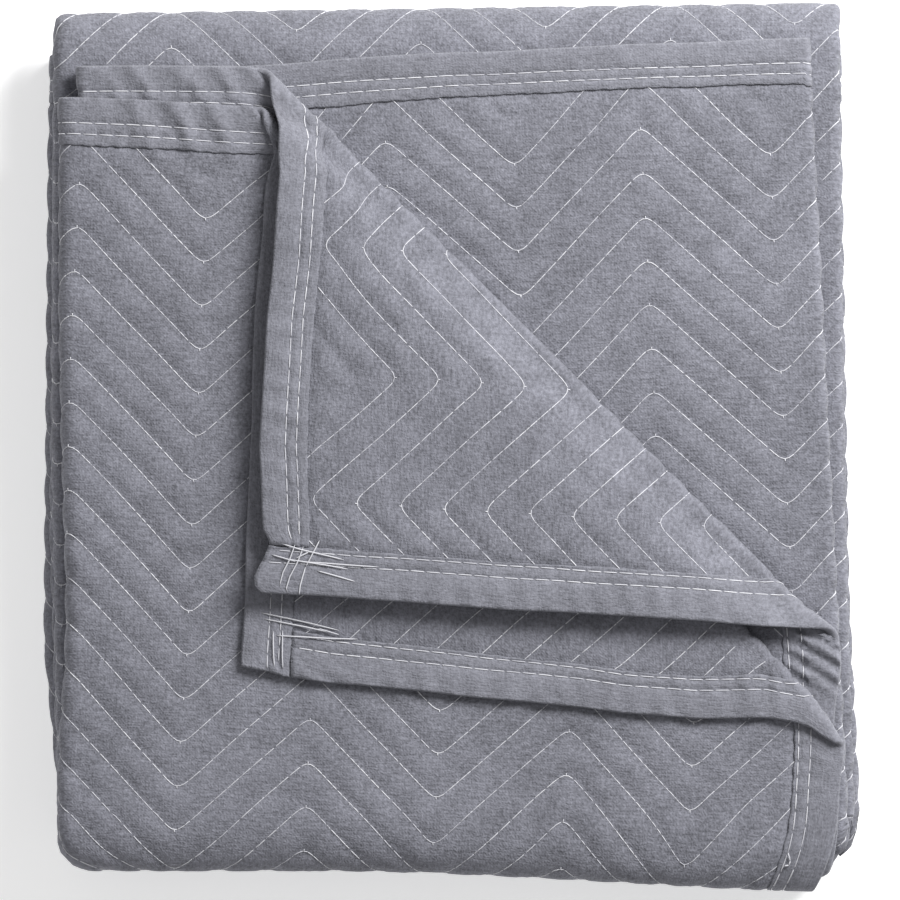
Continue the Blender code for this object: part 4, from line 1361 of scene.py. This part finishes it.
def flat_finder(u_from, u_to, q_from, q_to, h):
    """Looks up the flat place that lies nearest to a place on the pack."""
    u, q = np.meshgrid(np.arange(u_from, u_to, FIND_STEP), np.arange(q_from, q_to, FIND_STEP))
    where = place(u, q, h)[..., :2] + np.array(PACK_MIDDLE[:2])

    def find(x, y):
        found = [np.argmin((where[..., 0] - a) ** 2 + (where[..., 1] - b) ** 2)
                 for a, b in zip(x, y)]
        return u.ravel()[found], q.ravel()[found]
    return find


far_patch = flat_finder(0.0, CORNER_PATCH, 0.0, CORNER_PATCH, BINDING_HALF)
near_patch = flat_finder(U_EDGE - CORNER_PATCH, U_EDGE, 0.0, CORNER_PATCH, -BINDING_HALF)
loose_patch = flat_finder(U_EDGE - LOOSE_PATCH[0], U_EDGE, *LOOSE_PATCH[1:], BINDING_HALF)
parts = []
for tacks, finder, side, lift in ((FAR_TACKS, far_patch, 1, TACK_LIFT),
                                  (NEAR_TACKS, near_patch, -1, TACK_LIFT),
                                  (LOOSE_END, loose_patch, 1, LOOSE_LIFT)):
    x0, y0, x1, y1 = np.array(tacks).T
    u0, q0 = finder(x0, y0)
    u1, q1 = finder(x1, y1)

    def path(share, u0=u0, q0=q0, u1=u1, q1=q1):
        return u0 + (u1 - u0) * share, q0 + (q1 - q0) * share

    def height(u, q, lift=lift):
        return np.full_like(u, BINDING_HALF + lift)
    parts.append(spindles(path, height, side, TACK_RADIUS))
tacks = add_mesh("corner_stitches", *join(parts), thread_stuff)
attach(tacks, "root")
print("corner stitches", sum(len(part[1]) for part in parts), "faces")

# %% [markdown]
# ## The woven finish
# The cloth is a matt grey weave of mixed light and dark yarn. All of it is made from
# the flat coordinates, so that the weave runs along the cloth and turns with it. A few
# helpers add the nodes that the finishes share.

# %% Node helpers
def shader_of(stuff):
    """Empties a material and gives it one plain shader."""
    stuff.use_nodes = True
    tree = stuff.node_tree
    tree.nodes.clear()
    out = tree.nodes.new("ShaderNodeOutputMaterial")
    shader = tree.nodes.new("ShaderNodeBsdfPrincipled")
    tree.links.new(shader.outputs["BSDF"], out.inputs["Surface"])
    return tree, shader


def noise(tree, coords, scale, detail=3.0, rough=0.55, stretch=(1, 1, 1)):
    mapping = tree.nodes.new("ShaderNodeMapping")
    mapping.inputs["Scale"].default_value = stretch
    tree.links.new(coords, mapping.inputs["Vector"])
    node = tree.nodes.new("ShaderNodeTexNoise")
    node.inputs["Scale"].default_value = scale
    node.inputs["Detail"].default_value = detail
    node.inputs["Roughness"].default_value = rough
    tree.links.new(mapping.outputs["Vector"], node.inputs["Vector"])
    return node.outputs["Fac"]


def ramp(tree, value, low, high, dark, light):
    node = tree.nodes.new("ShaderNodeMapRange")
    node.inputs["From Min"].default_value = low
    node.inputs["From Max"].default_value = high
    node.inputs["To Min"].default_value = dark
    node.inputs["To Max"].default_value = light
    tree.links.new(value, node.inputs["Value"])
    return node.outputs["Result"]


def math_node(tree, kind, a, b):
    node = tree.nodes.new("ShaderNodeMath")
    node.operation = kind
    for socket, value in zip(node.inputs, (a, b)):
        if isinstance(value, (int, float)):
            socket.default_value = value
        else:
            tree.links.new(value, socket)
    return node.outputs["Value"]


print("helpers", [tool.__name__ for tool in (shader_of, noise, ramp, math_node)])

# %% [markdown]
# Four grains of noise shade the cloth: specks of single fibres, mottling of the mixed
# yarn, slow patches of wear, and streaks along the thread. The weave and a slight
# crumple are bumps, because they are as fine as the mesh or finer.

# %% The cloth and the tape
GRAIN_LOW, GRAIN_HIGH = 0.3, 0.7


def weave_of(tree, coords, threads):
    """Crossed fine ridges of a plain weave, from 0 to 1."""
    parts = []
    for axis in ("X", "Y"):
        wave = tree.nodes.new("ShaderNodeTexWave")
        wave.bands_direction = axis
        wave.inputs["Scale"].default_value = threads
        wave.inputs["Distortion"].default_value = 9.0
        wave.inputs["Detail"].default_value = 3.0
        wave.inputs["Detail Scale"].default_value = 1.2
        tree.links.new(coords, wave.inputs["Vector"])
        parts.append(wave.outputs["Fac"])
    return math_node(tree, "MULTIPLY", parts[0], parts[1])


def cloth_finish(stuff, colour, lift, weave_depth):
    tree, shader = shader_of(stuff)
    uv = tree.nodes.new("ShaderNodeUVMap")
    uv.uv_map = "flat_cloth"
    coords = uv.outputs["UV"]
    speck = noise(tree, coords, 900.0, 3.0, 0.7)
    mottle = noise(tree, coords, 150.0, 4.0, 0.6)
    patch = noise(tree, coords, 22.0, 3.0, 0.5)
    yarn = noise(tree, coords, 260.0, 2.0, 0.5, (1.0, 7.0, 1.0))
    shade = 0.5
    for grain, share in ((speck, 0.24), (mottle, 0.11), (patch, 0.06), (yarn, 0.04)):
        part = ramp(tree, grain, GRAIN_LOW, GRAIN_HIGH, -share, share)
        shade = math_node(tree, "ADD", shade, part)
    mix = tree.nodes.new("ShaderNodeMix")
    mix.data_type = "RGBA"
    mix.inputs["A"].default_value = tuple(c * (1 - lift) for c in colour) + (1.0,)
    mix.inputs["B"].default_value = tuple(c * (1 + lift) for c in colour) + (1.0,)
    tree.links.new(shade, mix.inputs["Factor"])
    tree.links.new(mix.outputs["Result"], shader.inputs["Base Color"])
    shader.inputs["Roughness"].default_value = 0.93
    shader.inputs["Sheen Weight"].default_value = 0.12
    shader.inputs["Sheen Roughness"].default_value = 0.6
    shader.inputs["Specular IOR Level"].default_value = 0.2
    fibre = math_node(tree, "ADD", weave_of(tree, coords, 320.0),
                      math_node(tree, "MULTIPLY", speck, 0.8))
    bump = tree.nodes.new("ShaderNodeBump")
    bump.inputs["Distance"].default_value = weave_depth
    bump.inputs["Strength"].default_value = 0.6
    tree.links.new(fibre, bump.inputs["Height"])
    crumple = noise(tree, coords, 230.0, 3.0, 0.6, (1.0, 2.8, 1.0))
    under = tree.nodes.new("ShaderNodeBump")
    under.inputs["Distance"].default_value = 0.0011
    under.inputs["Strength"].default_value = 0.7
    tree.links.new(crumple, under.inputs["Height"])
    tree.links.new(under.outputs["Normal"], bump.inputs["Normal"])
    tree.links.new(bump.outputs["Normal"], shader.inputs["Normal"])


cloth_finish(cloth_stuff, (0.172, 0.174, 0.202), 0.75, 0.00030)
cloth_finish(tape_stuff, (0.184, 0.186, 0.214), 0.55, 0.00025)
print("cloth nodes", len(cloth_stuff.node_tree.nodes))

# %% [markdown]
# The thread is lighter than the cloth and a little shiny. It is worn darker in places,
# so it changes slowly along the sewing.

# %% The thread
tree, shader = shader_of(thread_stuff)
uv = tree.nodes.new("ShaderNodeUVMap")
uv.uv_map = "flat_cloth"
worn = noise(tree, uv.outputs["UV"], 60.0)
mix = tree.nodes.new("ShaderNodeMix")
mix.data_type = "RGBA"
mix.inputs["A"].default_value = (0.46, 0.46, 0.50, 1.0)
mix.inputs["B"].default_value = (0.68, 0.68, 0.71, 1.0)
tree.links.new(ramp(tree, worn, 0.35, 0.65, 0.0, 1.0), mix.inputs["Factor"])
tree.links.new(mix.outputs["Result"], shader.inputs["Base Color"])
shader.inputs["Roughness"].default_value = 0.65
print("thread nodes", len(thread_stuff.node_tree.nodes))

# %% [markdown]
# ## Floor, light and camera
# The pack lies on a plain pale floor under soft light from above and a little to one
# side. The floor glows faintly, so that it stays pale under a gentle light.

# %% Floor and sky
bpy.ops.object.select_all(action="DESELECT")
bpy.ops.mesh.primitive_plane_add(size=12.0, location=(0.0, 0.0, -0.0010))
floor = bpy.context.object
floor.name = "floor"
floor_stuff = bpy.data.materials.new("pale_floor")
tree, shader = shader_of(floor_stuff)
shader.inputs["Base Color"].default_value = (0.96, 0.96, 0.96, 1.0)
shader.inputs["Emission Color"].default_value = (1.0, 1.0, 1.0, 1.0)
shader.inputs["Emission Strength"].default_value = 0.43
shader.inputs["Roughness"].default_value = 0.9
floor.data.materials.append(floor_stuff)

world = bpy.data.worlds.new("studio")
bpy.context.scene.world = world
world.use_nodes = True
sky = world.node_tree.nodes["Background"]
sky.inputs["Color"].default_value = (1.0, 1.0, 1.0, 1.0)
sky.inputs["Strength"].default_value = 0.34
print("floor at %.4f m" % floor.location.z)

# %% [markdown]
# Low relief is only seen by its shading. One lamp to the upper right models the ribs
# and hems, and a weak one from the other side keeps the shadows open.

# %% Lamps
def soft_light(name, place_at, size, power):
    """A square lamp that looks at the middle of the pack."""
    light = bpy.data.lights.new(name, "AREA")
    light.size = size
    light.energy = power
    lamp = bpy.data.objects.new(name, light)
    lamp.location = place_at
    lamp.rotation_mode = "QUATERNION"
    lamp.rotation_quaternion = (-Vector(place_at)).to_track_quat("-Z", "Y")
    bpy.context.scene.collection.objects.link(lamp)
    return lamp


soft_light("key_light", (1.20, 1.30, 1.50), 1.0, 87.0)
soft_light("fill_light", (-1.3, -0.6, 1.8), 1.6, 3.0)

# %% [markdown]
# The camera looks straight down through a long lens from far away, so the sides of the
# pack hardly show. The lens only sets how far off it has to stand.

# %% Camera
PIXEL = 0.00058
PICTURE_WIDTH = 900 * PIXEL
AIM = (-1 * PIXEL, -2 * PIXEL)
PACK_FACE_Z = 0.075
LENS = 600.0
camera_data = bpy.data.cameras.new("camera")
camera_data.lens = LENS
camera = bpy.data.objects.new("camera", camera_data)
camera.location = (
    AIM[0] - PACK_MIDDLE[0], AIM[1] - PACK_MIDDLE[1],
    PACK_FACE_Z + PICTURE_WIDTH * LENS / camera_data.sensor_width)
camera_data.clip_end = 100.0
bpy.context.scene.collection.objects.link(camera)
bpy.context.scene.camera = camera
bpy.context.scene.view_settings.view_transform = "Standard"
print("camera stands %.2f m up" % camera.location.z)
